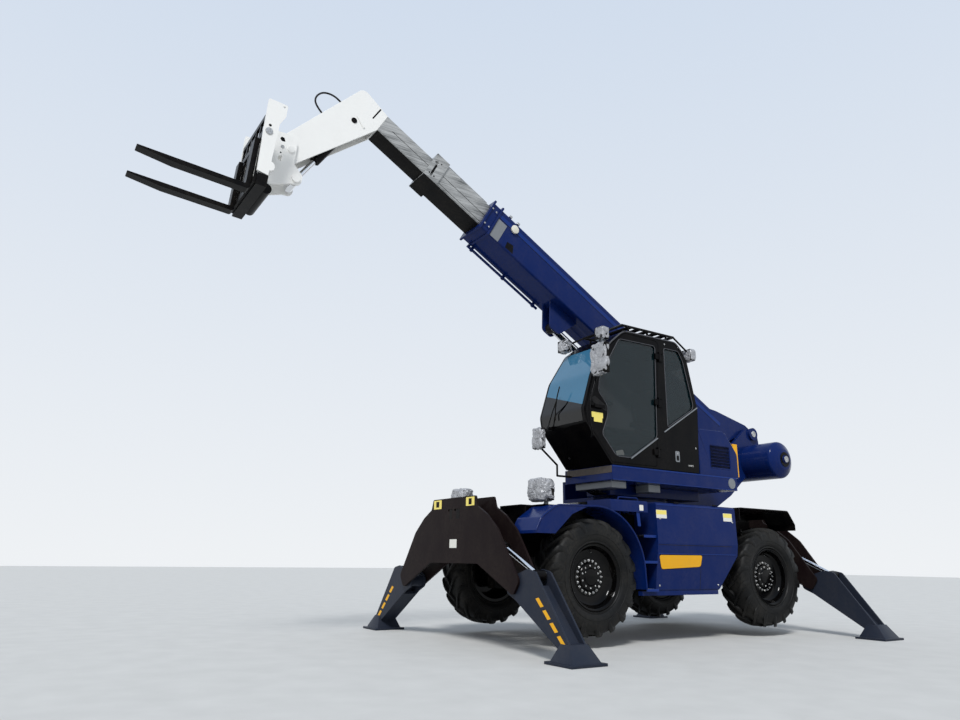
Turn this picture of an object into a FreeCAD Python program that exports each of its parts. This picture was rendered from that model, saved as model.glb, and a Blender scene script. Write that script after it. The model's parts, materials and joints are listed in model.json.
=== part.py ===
import FreeCAD, Part
import math
import os
from FreeCAD import Vector

os.makedirs("parts", exist_ok=True)

# Millimetres, +X forward, +Y to the left (the cab's side), +Z up, ground at z = 0.
# Every x below is counted from the slew centre; the finished pieces are moved by slew_x().
fit_gap = 0.3              # between a pin and its eye, or a piece and its seat
slide_gap = 0.5            # between a boom section and the pads it slides in

# Wheels and axles
axle_x = {"front": 1545.0, "rear": -1505.0}
hub_z = 736.0              # the wheels hang clear of the ground
wheel_y = 965.0            # middle of a tyre
kingpin_y = 815.0
tyre_r = 630.0             # over the lugs
tyre_w = 400.0
tread_r = 598.0            # between the lugs
lug_count = 18             # on each side of the tread
lug_sweep = 20.0           # degrees that a lug falls behind from the middle to the shoulder
rim_w = 338.0
rim_flange_r = 357.0
rim_seat_r = 332.0
rim_wall = 14.0
disc_w = 35.0              # the dish's disc, outward of the tyre's middle
disc_t = 16.0
hub_r = 172.0
hub_out = 95.0             # the hub cover's end, outward of the tyre's middle
spindle_r = 60.0
kingpin_r = 30.0
yoke_z = 140.0             # half the height between the yoke's lugs
yoke_t = 45.0
yoke_half_x = 65.0
axle_tube_r = 80.0
diff_r = 190.0

# Chassis
frame_half_y = 380.0
frame_t = 30.0
frame_top_z = 1380.0
ring_r = 600.0             # slew ring
ring_seat_r = 640.0
ring_seat_top_z = 1560.0
ring_top_z = 1640.0
fender_y = (755.0, 1188.0)
fender_t = 14.0
rear_fender_top_z = 1600.0
fender_fall = (565.0, 16.0)              # run and fall of the front fender's top
lamp_out = 470.0           # head lamps, forward of the front arch's middle
front_arch = (1550.0, 780.0, 708.0)      # x, z and inner radius
deck_t = 15.0
box_x = (-818.0, 608.0)    # side boxes
box_y = 1187.0
box_z = (580.0, 1591.0)
box_ridge_z = 1120.0
hood_wall = 12.0

# Stabilisers: two plates with the legs between them
plate_t = 25.0
plate_face_x = {"front": 2692.0, "rear": -2575.0}
plate_gap = 225.0          # between the two plates
leg_side_gap = 10.0
leg_pivot = (1120.0, 640.0)              # y, z
leg_eye = (1430.0, 762.0)
leg_base = (300.0, 1290.0)
leg_pin_r = 45.0
leg_plate_t = 20.0
foot_y = 1958.0
foot_size = (420.0, 390.0)
foot_t = 25.0
leg_barrel_r = 55.0
leg_rod_r = 30.0
leg_bore_r = 45.0
leg_gland = 630.0          # barrel's end, from its eye
leg_rod_tail = 575.0       # rod's inner end at rest, from the barrel's eye
cylinder_pin_r = 28.0

# Turret
turret_gap = 0.5           # above the slew ring
turret_base_t = 45.0
turret_half_y = 300.0      # outside of the two upright plates
upright_t = 45.0
sill_z = (1812.0, 1982.0)
sill_y = 1150.0
sill_x = (-950.0, 1258.0)
sill_inner_y = 300.3
cowl_back_x = -1035.0
drum = (-2450.0, 2380.0, 270.0, 850.0)   # x, z, radius and half length

# Boom, set out from its pivot: a along the boom, h across it
boom_pivot = (-2500.0, 2830.0)           # x, z
boom_deg = 29.6            # above level, as it stands
base_h = (-586.0, -131.0)
base_half_y = 225.0
base_a = (430.0, 5455.0)
base_wall = 12.0
collar_t = 28.0            # flanges at the base section's mouth
flange_out = 22.0          # how far they stand out above and below
pipe_r = 18.0              # hydraulic pipe under the base section
mid_h = (-536.0, -186.0)
mid_half_y = 180.0
mid_a = (1200.0, 6405.0)
mid_wall = 10.0
mid_collar = 210.0         # length of the mid section's collar, from its mouth
inner_h = (-506.0, -236.0)
inner_half_y = 140.0
inner_a = (2000.0, 7150.0)
inner_wall = 10.0
pivot_tube_r = 95.0
pivot_pin_r = 60.0
lift_eye = (3760.0, -850.0)              # a, h on the boom
lift_base = (-2000.0, 2005.0)            # x, z on the turret
lift_barrel_r = 100.0
lift_bore_r = 85.0
lift_rod_r = 55.0
lift_gland = 2620.0
lift_rod_tail = 900.0
lift_eye_half_y = 60.0
lift_eye_r = 72.0

# Boom head and fork carriage, x and z as the machine stands
head_half_y = 130.0
head_wall = 20.0
tilt_pivot = (5000.0, 5280.0)
tilt_base = (4270.0, 5930.0)
tilt_eye = (4922.0, 4945.0)
tilt_barrel_r = 62.0
tilt_bore_r = 50.0
tilt_rod_r = 32.0
tilt_gland = 725.0
tilt_rod_tail = 495.0
hitch_gap = 6.0
hitch_t = 25.0
cheek_y = 425.0            # inside of the carriage's side plates
fork_back_deg = 5.0        # the carriage leans back, so the forks rise
fork_y = 300.0
fork_w = 125.0
fork_t = 50.0
fork_len = 1050.0
fork_tip_r = 8.0
grid_t = 30.0              # load guard, between the shanks and the side plates
shank_x = 5388.0           # back face of the forks' shanks
heel_z = 4580.0            # top of the forks' blades at the heel

# Cab
cab_y = (330.0, 1150.0)
cab_wall = 40.0
door_t = 34.0
door_gap = 6.0
glass_t = 6.0
guard_x = (40.0, 960.0)    # roof guard
guard_h = 95.0
hinge_y = 1166.0
hinge_foot = (522.0, 1990.0)             # x, z of the leaning hinge line
hinge_head = (382.0, 3640.0)
hinge_shares = (0.12, 0.5, 0.86)         # places of the hinges along that line
hinge_half = 40.0
hinge_pin_r = 8.0


def block(x, y, z):
    """Box between the pairs of limits."""
    return Part.makeBox(x[1] - x[0], y[1] - y[0], z[1] - z[0], Vector(x[0], y[0], z[0]))


def rod(start, end, radius):
    """Round bar between two points."""
    start = Vector(*start)
    way = Vector(*end) - start
    return Part.makeCylinder(radius, way.Length, start, way)


def outline(points, place):
    """Closed wire through corners (u, v) or (u, v, radius); place turns u, v into a point."""
    count = len(points)
    corners = [Vector(p[0], p[1], 0) for p in points]
    edges = []
    last = None
    first = None
    for i in range(count):
        here = corners[i]
        radius = points[i][2] if len(points[i]) > 2 else 0.0
        back = (corners[i - 1] - here).normalize()
        on = (corners[(i + 1) % count] - here).normalize()
        if radius > 0:
            half = back.getAngle(on) / 2
            reach = radius / math.tan(half)
            middle = (back + on).normalize() * (radius / math.sin(half) - radius)
            enter, leave = here + back * reach, here + on * reach
        else:
            enter, leave = here, here
        if last is not None and last.distanceToPoint(enter) > 1e-6:
            edges.append(Part.makeLine(place(last), place(enter)))
        if radius > 0:
            edges.append(Part.Arc(place(enter), place(here + middle), place(leave)).toShape())
        first = first or enter
        last = leave
    if last.distanceToPoint(first) > 1e-6:
        edges.append(Part.makeLine(place(last), place(first)))
    return Part.Wire(edges)


def prism_y(points, y):
    """Outline in x, z carried from y[0] to y[1]."""
    wire = outline(points, lambda p: Vector(p.x, y[0], p.y))
    return Part.Face(wire).extrude(Vector(0, y[1] - y[0], 0))


def prism_x(points, x):
    """Outline in y, z carried from x[0] to x[1]."""
    wire = outline(points, lambda p: Vector(x[0], p.x, p.y))
    return Part.Face(wire).extrude(Vector(x[1] - x[0], 0, 0))


def inset(points, depth):
    """The same outline with each side moved inwards; its corners run anticlockwise in u, v."""
    moved = []
    count = len(points)
    for i in range(count):
        a, b, c = (Vector(*points[(i + k) % count][:2], 0) for k in (-1, 0, 1))
        n1 = Vector(-(b - a).y, (b - a).x, 0).normalize()
        n2 = Vector(-(c - b).y, (c - b).x, 0).normalize()
        shift = (n1 + n2) * (depth / (1 + n1.dot(n2)))
        radius = points[i][2] if len(points[i]) > 2 else 0.0
        moved.append((b.x + shift.x, b.y + shift.y, max(radius - depth, 0.0)))
    return moved


def fused(pieces):
    """One solid from pieces that touch, with its seams removed."""
    whole = pieces[0].fuse(pieces[1:]) if len(pieces) > 1 else pieces[0]
    return whole.removeSplitter()


def mirrored(shape):
    """The same piece on the other side of the machine."""
    return shape.mirror(Vector(0, 0, 0), Vector(0, 1, 0))


def write(name, shape):
    """One sub-part, moved from the slew centre's frame to the part's frame."""
    placed = shape.copy()
    placed.translate(Vector(slew_x(), 0, 0))
    placed.exportStep("parts/" + name + ".step")


def slew_x():
    """Slew centre's place, which puts the middle of drum and fork tips on the origin."""
    lean = math.radians(fork_back_deg)
    out = shank_x + fit_gap + fork_t + fork_len - fork_tip_r - tilt_pivot[0]
    down = tilt_pivot[1] - heel_z + fork_tip_r
    tip_x = tilt_pivot[0] + out * math.cos(lean) + down * math.sin(lean) + fork_tip_r
    return -(tip_x + drum[0] - drum[2]) / 2


def on_boom(a, h, y=0.0):
    """Point of the machine from lengths along and across the boom."""
    turn = math.radians(boom_deg)
    x = boom_pivot[0] + a * math.cos(turn) - h * math.sin(turn)
    z = boom_pivot[1] + a * math.sin(turn) + h * math.cos(turn)
    return Vector(x, y, z)


def prism_boom(points, y):
    """Outline in a, h carried from y[0] to y[1]."""
    wire = outline(points, lambda p: on_boom(p.x, p.y, y[0]))
    return Part.Face(wire).extrude(Vector(0, y[1] - y[0], 0))


def section(a, h, half_y, wall):
    """Square boom section, open at both ends."""
    corner = 2.2 * wall
    def bar(depth):
        y = half_y - depth
        low, high = h[0] + depth, h[1] - depth
        radius = corner - depth
        points = [(-y, low, radius), (y, low, radius), (y, high, radius), (-y, high, radius)]
        wire = outline(points, lambda p: on_boom(a[0], p.y, p.x))
        return Part.Face(wire).extrude(on_boom(a[1], 0) - on_boom(a[0], 0))
    return bar(0).cut(bar(wall))


def cylinder_pair(base, eye, barrel_r, bore_r, rod_r, gland, tail, eyes_r, half_w):
    """Barrel and rod of a cylinder from its base pin to its rod's eye; half_w is half an eye's width."""
    base, eye = Vector(*base), Vector(*eye)
    way = (eye - base).normalize()
    side = half_w[0]
    length = (eye - base).Length
    closed_end = eyes_r + 12.0
    barrel = Part.makeCylinder(barrel_r, gland - eyes_r * 0.7, base + way * eyes_r * 0.7, way)
    barrel = barrel.fuse(Part.makeCylinder(eyes_r, 2 * side.Length, base - side, side))
    barrel = barrel.cut(Part.makeCylinder(bore_r, gland - closed_end - barrel_r * 0.4,
                                          base + way * closed_end, way))
    barrel = barrel.cut(Part.makeCylinder(rod_r + fit_gap, gland, base + way * closed_end, way))
    barrel = barrel.cut(Part.makeCylinder(cylinder_pin_r + fit_gap, 2 * side.Length, base - side, side))
    side = half_w[1]
    stem = Part.makeCylinder(rod_r, length - tail, base + way * tail, way)
    stem = stem.fuse(Part.makeCylinder(eyes_r, 2 * side.Length, eye - side, side))
    stem = stem.cut(Part.makeCylinder(cylinder_pin_r + fit_gap, 2 * side.Length, eye - side, side))
    return barrel.removeSplitter(), stem.removeSplitter()


def revolve_wheel(points, x, sign):
    """Profile (outward from the tyre's middle, radius) turned about the wheel's axis."""
    wire = outline(points, lambda p: Vector(x, sign * (wheel_y + p.x), hub_z + p.y))
    return Part.Face(wire).revolve(Vector(x, 0, hub_z), Vector(0, 1, 0), 360)


def tyre(x, sign):
    half = tyre_w / 2
    bead = rim_w / 2 - rim_wall - fit_gap
    inner = rim_seat_r + fit_gap
    side = [(bead, inner), (bead, inner + 30, 20), (half - 4, 440, 90), (half - 8, 545, 50),
            (half - 60, tread_r, 45)]
    points = [(-u, v, *more) for u, v, *more in side] + side[::-1]
    carcass = revolve_wheel(points, x, sign)
    left = lug(x, sign)
    right = left.mirror(Vector(x, sign * wheel_y, hub_z), Vector(0, 1, 0))
    lugs = []
    for i in range(lug_count):
        for shape, ahead in ((left, 0.0), (right, 0.5)):
            bar = shape.copy()
            bar.rotate(Vector(x, 0, hub_z), Vector(0, 1, 0), 360.0 * (i + ahead) / lug_count)
            lugs.append(bar)
    return carcass.fuse(lugs)


def lug(x, sign):
    """Bar of the tread, bent back towards the shoulder, where it falls to the side wall."""
    half = tyre_w / 2
    sweep = math.radians(lug_sweep) * tread_r
    width = 36.0
    knee = half - 75
    plan = [(-width / 2 - sweep / 2, half), (width - sweep / 2, half), (width * 0.6 - sweep / 5, knee),
            (width / 2 + sweep / 2, -15), (-width / 2 + sweep / 2, -15), (-width * 0.6 - sweep / 5, knee)]
    place = lambda p: Vector(x + p.x, sign * (wheel_y + p.y), hub_z + tread_r - 130)
    bar = Part.Face(outline(plan, place)).extrude(Vector(0, 0, tyre_r - tread_r + 130))
    top = math.sqrt(tyre_r ** 2 - (sweep / 2 + width / 2) ** 2)
    fall = [(-20, 400), (half, 400), (half, 500), (half - 12, 560), (half - 45, top - 6), (half - 80, top),
            (-20, top)]
    wire = outline(fall, lambda p: Vector(x - 300, sign * (wheel_y + p.x), hub_z + p.y))
    return bar.common(Part.Face(wire).extrude(Vector(600, 0, 0)))


def rim(x, sign):
    half = rim_w / 2
    seat_in = rim_seat_r - rim_wall
    barrel = [(-half, seat_in), (half, seat_in), (half, rim_flange_r, 5), (half - rim_wall, rim_flange_r, 5),
              (half - rim_wall, rim_seat_r), (rim_wall - half, rim_seat_r),
              (rim_wall - half, rim_flange_r, 5), (-half, rim_flange_r, 5)]
    bore = spindle_r + fit_gap
    centre = [(-20, bore), (disc_w + 40, bore), (disc_w + 40, 0), (hub_out, 0), (hub_out, hub_r - 30, 20),
              (disc_w + disc_t, hub_r, 8), (disc_w + disc_t, seat_in + 1), (disc_w, seat_in + 1),
              (disc_w, hub_r), (-20, hub_r)]
    return fused([revolve_wheel(barrel, x, sign), revolve_wheel(centre, x, sign)])


def knuckle(x, sign):
    reach = wheel_y + disc_w + 30
    body = block((x - 55, x + 55), (kingpin_y - 30, kingpin_y + 85), (hub_z - yoke_z + 5, hub_z + yoke_z - 5))
    pieces = [body,
              rod((x, kingpin_y, hub_z - yoke_z - yoke_t + 5), (x, kingpin_y, hub_z + yoke_z + yoke_t - 5),
                  kingpin_r),
              rod((x, kingpin_y + 85, hub_z), (x, reach, hub_z), spindle_r),
              prism_arm(x)]
    whole = fused(pieces)
    return whole if sign > 0 else mirrored(whole)


def prism_arm(x):
    """Steering arm, on the side of the axle that faces the machine's middle."""
    way = -1 if x > 0 else 1
    points = [(x, kingpin_y - 10), (x + way * 205, kingpin_y - 10, 20), (x + way * 205, kingpin_y + 40, 20),
              (x, kingpin_y + 75)]
    z = hub_z - 60
    wire = outline(points, lambda p: Vector(p.x, p.y, z))
    return Part.Face(wire).extrude(Vector(0, 0, 35))


def axle(x):
    lug_y = (kingpin_y - 60, kingpin_y + 60)
    pieces = [rod((x, -lug_y[0], hub_z), (x, lug_y[0], hub_z), axle_tube_r),
              rod((x, -150, hub_z), (x, 150, hub_z), diff_r),
              rod((x - 60, 0, hub_z), (x + 60, 0, hub_z), diff_r + 15)]
    pieces.append(block((x - 110, x + 110), (-frame_half_y, frame_half_y),
                        (hub_z + axle_tube_r - 30, frame_low_z() - fit_gap)))
    for side in (1, -1):
        yoke = block((x - yoke_half_x, x + yoke_half_x), (lug_y[0] - 50, lug_y[0]),
                     (hub_z - yoke_z - yoke_t, hub_z + yoke_z + yoke_t))
        lugs = [block((x - yoke_half_x, x + yoke_half_x), lug_y, (z, z + yoke_t))
                for z in (hub_z + yoke_z, hub_z - yoke_z - yoke_t)]
        bore = rod((x, kingpin_y, hub_z - 300), (x, kingpin_y, hub_z + 300), kingpin_r + fit_gap)
        end = fused([yoke] + lugs).cut(bore)
        pieces.append(end if side > 0 else mirrored(end))
    return fused(pieces)


def frame_low_z():
    """Underside of the frame above the axles."""
    return hub_z + diff_r + 14


def chassis_frame():
    front, rear = plate_back_x("front"), plate_back_x("rear")
    low = frame_low_z()
    profile = [(rear, low), (rear, 1200), (rear + 500, frame_top_z, 60), (front - 500, frame_top_z, 60),
               (front, 1200), (front, low), (axle_x["front"] - 380, low, 40), (axle_x["front"] - 560, 620, 40),
               (axle_x["rear"] + 560, 620, 40), (axle_x["rear"] + 380, low, 40)]
    pieces = []
    inner = frame_half_y - frame_t
    for y in ((inner, frame_half_y), (-frame_half_y, -inner)):
        pieces.append(prism_y(profile[::-1], y))
    pieces.append(block((rear + 500, front - 500), (-inner, inner), (frame_top_z - frame_t, frame_top_z)))
    pieces.append(block((axle_x["rear"] + 600, axle_x["front"] - 600), (-inner, inner), (620, 620 + frame_t)))
    for x in (rear, axle_x["rear"] + 400, axle_x["front"] - 430, front - frame_t):
        top = 1200 if x in (rear, front - frame_t) else frame_top_z - frame_t
        pieces.append(block((x, x + frame_t), (-inner, inner), (low, top)))
    for x in (rear + 500 - frame_t, front - 500):
        pieces.append(block((x, x + frame_t), (-inner, inner), (low, frame_top_z)))
    pieces.append(rod((0, 0, frame_top_z), (0, 0, ring_seat_top_z), ring_seat_r))
    pieces.append(rod((0, 0, ring_seat_top_z), (0, 0, ring_top_z), ring_r))
    front_deck = (axle_x["front"] - 630, front - 140)
    rear_deck = (rear + 140, axle_x["rear"] + 620)
    for x, top in ((front_deck, front_arch[1] + front_arch[2] + fender_t), (rear_deck, rear_fender_top_z)):
        y = (frame_half_y, fender_y[0] - fit_gap)
        step = [block(x, y, (top - deck_t, top)),
                block(x, (frame_half_y - frame_t, frame_half_y), (1200, top))]
        for b in (x[0] + 60, x[1] - 80):
            step.append(block((b, b + 20), y, (top - deck_t - 80, top - deck_t)))
        whole = fused(step)
        pieces += [whole, mirrored(whole)]
    return fused(pieces)


def plate_back_x(end):
    """Inner face of the inner stabiliser plate, where the chassis frame ends."""
    way = 1 if end == "front" else -1
    return plate_face_x[end] - way * (2 * plate_t + plate_gap)


def leg_middle_x(end):
    way = 1 if end == "front" else -1
    return plate_face_x[end] - way * (plate_t + plate_gap / 2)


def stabiliser_frame(end):
    """Two tapered plates with their cross webs and the fixed pins of the legs and cylinders."""
    half = [(465, 1595, 25), (506, 1478, 30), (690, 1385, 150), (900, 1220, 250), (1278, 700, 60),
            (1176, 560, 50), (520, 862, 80)]
    points = [(-y, z, r) for y, z, r in half] + half[::-1]
    way = 1 if end == "front" else -1
    face = plate_face_x[end]
    middle = leg_middle_x(end)
    reach = plate_gap / 2 + plate_t
    pieces = []
    for x in (face, face - way * (plate_gap + plate_t)):
        pieces.append(prism_x(points[::-1], (min(x, x - way * plate_t), max(x, x - way * plate_t))))
    slots = [block((face - 2 * plate_t, face + 2 * plate_t), y, (1442, 1466)) for y in ((-115, -20), (20, 115))]
    pieces[0] = pieces[0].cut(slots)
    span = (middle - plate_gap / 2, middle + plate_gap / 2)
    pieces.append(block(span, (-frame_half_y, frame_half_y), (862, 887)))
    pieces.append(block(span, (-150, 150), (1480, 1505)))
    for side in (1, -1):
        pieces.append(block(span, sorted((side * 150, side * 175)), (887, 1390)))
        for pin, radius in ((leg_pivot, leg_pin_r), (leg_base, cylinder_pin_r)):
            y = side * pin[0]
            pieces.append(rod((middle - reach, y, pin[1]), (middle + reach, y, pin[1]), radius))
    return fused(pieces)


def leg(end, side):
    """Leg of two plates and a recessed web, with its foot."""
    middle = leg_middle_x(end)
    half = plate_gap / 2 - leg_side_gap
    y0, z0 = leg_pivot
    sole_y = (foot_y - foot_size[1] / 2, foot_y + foot_size[1] / 2)
    flank = [(y0 - 95, z0 - 60, 60), (y0 + 60, z0 - 125, 60), (foot_y - 110, foot_t + 90),
             (foot_y - 50, foot_t), (foot_y + 75, foot_t), (foot_y + 65, foot_t + 110),
             (leg_eye[0] + 75, leg_eye[1] + 35, 60), (leg_eye[0] - 60, leg_eye[1] + 60, 50),
             (y0 + 20, z0 + 110, 90), (y0 - 95, z0 + 50, 60)]
    pieces = []
    for x in (middle - half, middle + half - leg_plate_t):
        pieces.append(prism_x(flank, (x, x + leg_plate_t)))
    web_x = (middle - half + leg_plate_t, middle + half - leg_plate_t)
    outer = [(leg_eye[0] + 40, leg_eye[1] - 95), (leg_eye[0] + 5, leg_eye[1] - 115), (foot_y - 20, foot_t + 60),
             (foot_y + 35, foot_t + 60)]
    pieces.append(prism_x(outer[::-1], web_x))
    under = [(y0 + 130, z0 - 165), (y0 + 150, z0 - 135), (foot_y - 50, foot_t + 95), (foot_y - 75, foot_t + 75)]
    pieces.append(prism_x(under, web_x))
    pieces.append(rod((web_x[0], y0, z0), (web_x[1], y0, z0), leg_pin_r + 22))
    pieces.append(block((middle - foot_size[0] / 2, middle + foot_size[0] / 2), sole_y, (0, foot_t)))
    socket = Part.makeLoft([
        Part.makePolygon([Vector(middle + u * 165, foot_y + v * 165, foot_t)
                          for u, v in ((-1, -1), (1, -1), (1, 1), (-1, 1), (-1, -1))]),
        Part.makePolygon([Vector(middle + u * (half + 8), foot_y + v * 65 - 15, foot_t + 150)
                          for u, v in ((-1, -1), (1, -1), (1, 1), (-1, 1), (-1, -1))])], True, True)
    pieces.append(socket)
    whole = fused(pieces).cut(rod((middle - 200, y0, z0), (middle + 200, y0, z0), leg_pin_r + fit_gap))
    return whole if side > 0 else mirrored(whole)


def leg_cylinder(end):
    middle = leg_middle_x(end)
    base = (middle, leg_base[0], leg_base[1])
    eye = (middle, leg_eye[0], leg_eye[1])
    return cylinder_pair(base, eye, leg_barrel_r, leg_bore_r, leg_rod_r, leg_gland, leg_rod_tail, 52.0,
                         (Vector(plate_gap / 2 - 10, 0, 0), Vector(60, 0, 0)))


def front_fender():
    """Arched mudguard with a sloping nose."""
    cx, cz, r = front_arch
    y = fender_y
    nose_x = plate_back_x("front") - 12
    pieces = []
    band = Part.makeCylinder(r + fender_t, y[1] - y[0], Vector(cx, y[0], cz), Vector(0, 1, 0))
    band = band.cut(Part.makeCylinder(r, y[1] - y[0], Vector(cx, y[0], cz), Vector(0, 1, 0)))
    band = band.common(block((cx - r - fender_t, cx), y, (cz, cz + r + fender_t)))
    pieces.append(band)
    skirt = [(cx - r - fender_t, cz), (cx - r - fender_t - 12, cz - 180), (cx - r - 12, cz - 180), (cx - r, cz)]
    pieces.append(prism_y(skirt, y))
    top = cz + r
    nose = [(cx, top), (cx + 560, top - 15, 60), (nose_x - 90, top - 150, 60), (nose_x, cz + 400),
            (nose_x, cz + 430, 5), (nose_x - 82, top - 142, 60),
            (cx + fender_fall[0], top + fender_t - fender_fall[1], 60),
            (cx, top + fender_t)]
    pieces.append(prism_y(nose[::-1], y))
    flank = [(cx + 120, top), (cx + 560, top - 14), (nose_x - 92, top - 150), (nose_x - 3, cz + 402),
             (cx + r * math.cos(math.radians(33)), cz + 402), (cx + r * math.cos(math.radians(60)),
             cz + r * math.sin(math.radians(60)))]
    pieces.append(prism_y(flank, (y[1] - fender_t, y[1])))
    return fused(pieces)


def rear_fender():
    """Flat-topped mudguard."""
    x = axle_x["rear"]
    top = rear_fender_top_z
    points = [(x + 610, 1430), (x + 610, top, 40), (x - 420, top, 60), (x - 560, 1420, 30), (x - 560, 1340),
              (x - 548, 1340), (x - 548, 1416, 20), (x - 412, top - fender_t, 40),
              (x + 596, top - fender_t, 20), (x + 596, 1430)]
    return prism_y(points, fender_y)


def side_box_outline():
    """The side boxes' section in y, z."""
    z0, z1 = box_z
    seat = frame_half_y + fit_gap
    return [(seat, z0), (box_y - 75, z0, 25), (box_y, box_ridge_z, 20), (box_y - 12, z1, 35), (seat, z1)]


def side_box():
    """Side box with its rear lower corner cut away for the wheel."""
    whole = prism_x(side_box_outline(), box_x)
    z0 = box_z[0]
    corner = [(box_x[0] - 10, z0 - 10), (box_x[0] + 330, z0 - 10), (box_x[0] - 10, z0 + 420)]
    return whole.cut(prism_y(corner, (0, 1400))).cut(ring_room(fit_gap))


def ring_room(room):
    """Space of the slew ring's seat, which the side boxes leave free."""
    return rod((0, 0, frame_top_z - room), (0, 0, box_z[1] + 50), ring_seat_r + room)


def left_tank():
    """Left box with the sill under it, which runs on below the steps."""
    z = box_z[0]
    sill_end = front_arch[0] - front_arch[2] - 2 * fender_t
    sill = block((box_x[0] + 330, sill_end), (box_y - 150, box_y - 85), (z - 50, z - fit_gap))
    seat = block((box_x[0] + 330, box_x[1]), (box_y - 150, box_y - 85), (z - fit_gap, z + 2))
    return fused([side_box(), sill, seat])


def step_box():
    """Locker over the steps and the fender's back, with a loop to hold."""
    x = (box_x[1] + 110, 1305)
    y = (fender_y[0], box_y - 37)
    top = 1592.0
    locker = block(x, y, (1462, top))
    pieces = [locker.makeFillet(18, [e for e in locker.Edges if abs(e.CenterOfMass.z - top) < 1
                                     and abs(e.CenterOfMass.y - y[1]) < 1])]
    feet, rise, bend = (850, 1160), 30, 20  # low enough for the turret to sweep over it
    z = top + rise
    for foot in feet:
        pieces.append(rod((foot, y[1] - 30, top - 5), (foot, y[1] - 30, z - bend), 9))
    pieces.append(rod((feet[0] + bend, y[1] - 30, z), (feet[1] - bend, y[1] - 30, z), 9))
    for foot, way in ((feet[0], 1), (feet[1], -1)):
        corner = Part.makeTorus(bend, 9, Vector(foot + way * bend, y[1] - 30, z - bend), Vector(0, 1, 0))
        quarter = block(sorted((foot - way * 10, foot + way * bend)), (y[1] - 45, y[1] - 15),
                        (z - bend, z + 10))
        pieces.append(corner.common(quarter))
    return fused(pieces)


def right_hood():
    """Engine hood: the same box, hollow."""
    outer = side_box()
    points = inset(side_box_outline(), hood_wall)
    hollow = prism_x(points, (box_x[0] + hood_wall, box_x[1] - hood_wall))
    z0 = box_z[0]
    corner = [(box_x[0] - 10, z0 - 10), (box_x[0] + 350, z0 - 10), (box_x[0] - 10, z0 + 445)]
    hollow = hollow.cut(prism_y(corner, (0, 1400))).cut(ring_room(fit_gap + hood_wall))
    louvres = [block((x, x + 380), (box_y - 40, box_y + 10), (z, z + 16))
               for x in (-560, -60) for z in range(1190, 1490, 48)]
    return mirrored(outer.cut(hollow).cut(louvres))


def engine_block():
    seat_y = frame_half_y + 2 * fit_gap + hood_wall
    seat_z = box_z[0] + hood_wall + fit_gap
    return block((-420, 480), (-seat_y - 560, -seat_y), (seat_z, seat_z + 720))


def steps():
    """Two treads and their hanger plates between the front fender and the left box."""
    x = (box_x[1] + fit_gap, front_arch[0] - front_arch[2] - fender_t - 14)
    y = (fender_y[0] + 60, box_y - 25)
    pieces = [block(x, (y[0] - 20, y[0]), (box_z[0], 1460))]
    for z in (box_z[0], 890, 1180):
        pieces.append(block(x, y, (z, z + 22)))
    return fused(pieces)


def head_lamps():
    """Lamp bodies on short posts on the fenders' noses."""
    x = front_arch[0] + lamp_out
    fall = fender_fall[1] / fender_fall[0]
    seat = front_arch[1] + front_arch[2] + fender_t - fall * lamp_out + fit_gap + 18 * fall
    lamps = []
    for side in (1, -1):
        y = side * 880
        post = rod((x, y, seat), (x, y, seat + 60), 18)
        head = block((x - 45, x + 45), (y - 90, y + 90), (seat + 60, seat + 190))
        lamps.append(fused([post, head]))
    return Part.makeCompound(lamps)


def turret_frame():
    """Base plate on the slew ring and two upright plates that carry the boom's pivot."""
    z = ring_top_z + turret_gap
    top = z + turret_base_t
    px, pz = boom_pivot
    outer = turret_half_y
    base = block((-1500, 1150), (-outer, outer), (z, top))
    disc = rod((0, 0, z), (0, 0, top), ring_r)
    upright = [(-1500, z), (1150, z), (1150, sill_z[1] - 60, 60), (-700, sill_z[1] - 60, 100),
               (-1700, 2380, 300),
               (px + 160, pz + 60, 120), (px - 110, pz + 105, 90), (px - 150, pz - 130, 90),
               (drum[0] - 120, drum[1] + 60), (drum[0] + 120, drum[1] - 180), (-1900, 1860, 120)]
    pieces = [base, disc]
    for y in ((outer - upright_t, outer), (-outer, upright_t - outer)):
        pieces.append(prism_y(upright, y))
    inner = outer - upright_t
    floor = [(-1500, z), (-1500, z + 24), (-1870, 1867), (-1870, 1844)]
    pieces.append(prism_y(floor, (-inner, inner)))
    pieces.append(rod((px, -outer - 35, pz), (px, outer + 35, pz), pivot_pin_r))
    for side in (1, -1):
        pieces.append(rod((px, side * outer, pz), (px, side * (outer + 35), pz), pivot_tube_r))
    lx, lz = lift_base
    pieces.append(rod((lx, -inner, lz), (lx, inner, lz), cylinder_pin_r))
    for side in (1, -1):
        y = sorted((side * (lift_eye_half_y + 5), side * inner))
        pieces.append(rod((lx, y[0], lz), (lx, y[1], lz), 45))
    whole = fused(pieces)
    seat = Part.makeCylinder(drum[2] + fit_gap, 2 * outer + 10, Vector(drum[0], -outer - 5, drum[1]),
                             Vector(0, 1, 0))
    return whole.cut(seat)


def platform():
    """Deck boxes on both sides of the uprights, with the brackets under them."""
    z = sill_z
    decks = []
    for side in (1, -1):
        y = (sill_inner_y, sill_y)
        deck = block(sill_x, y, z)
        under = block((sill_x[0] + 250, sill_x[1] - 350), (y[0], y[0] + 420),
                      (ring_top_z + turret_gap + turret_base_t + fit_gap, z[0]))
        whole = fused([deck, under])
        decks.append(whole if side > 0 else mirrored(whole))
    return Part.makeCompound(decks)


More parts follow.
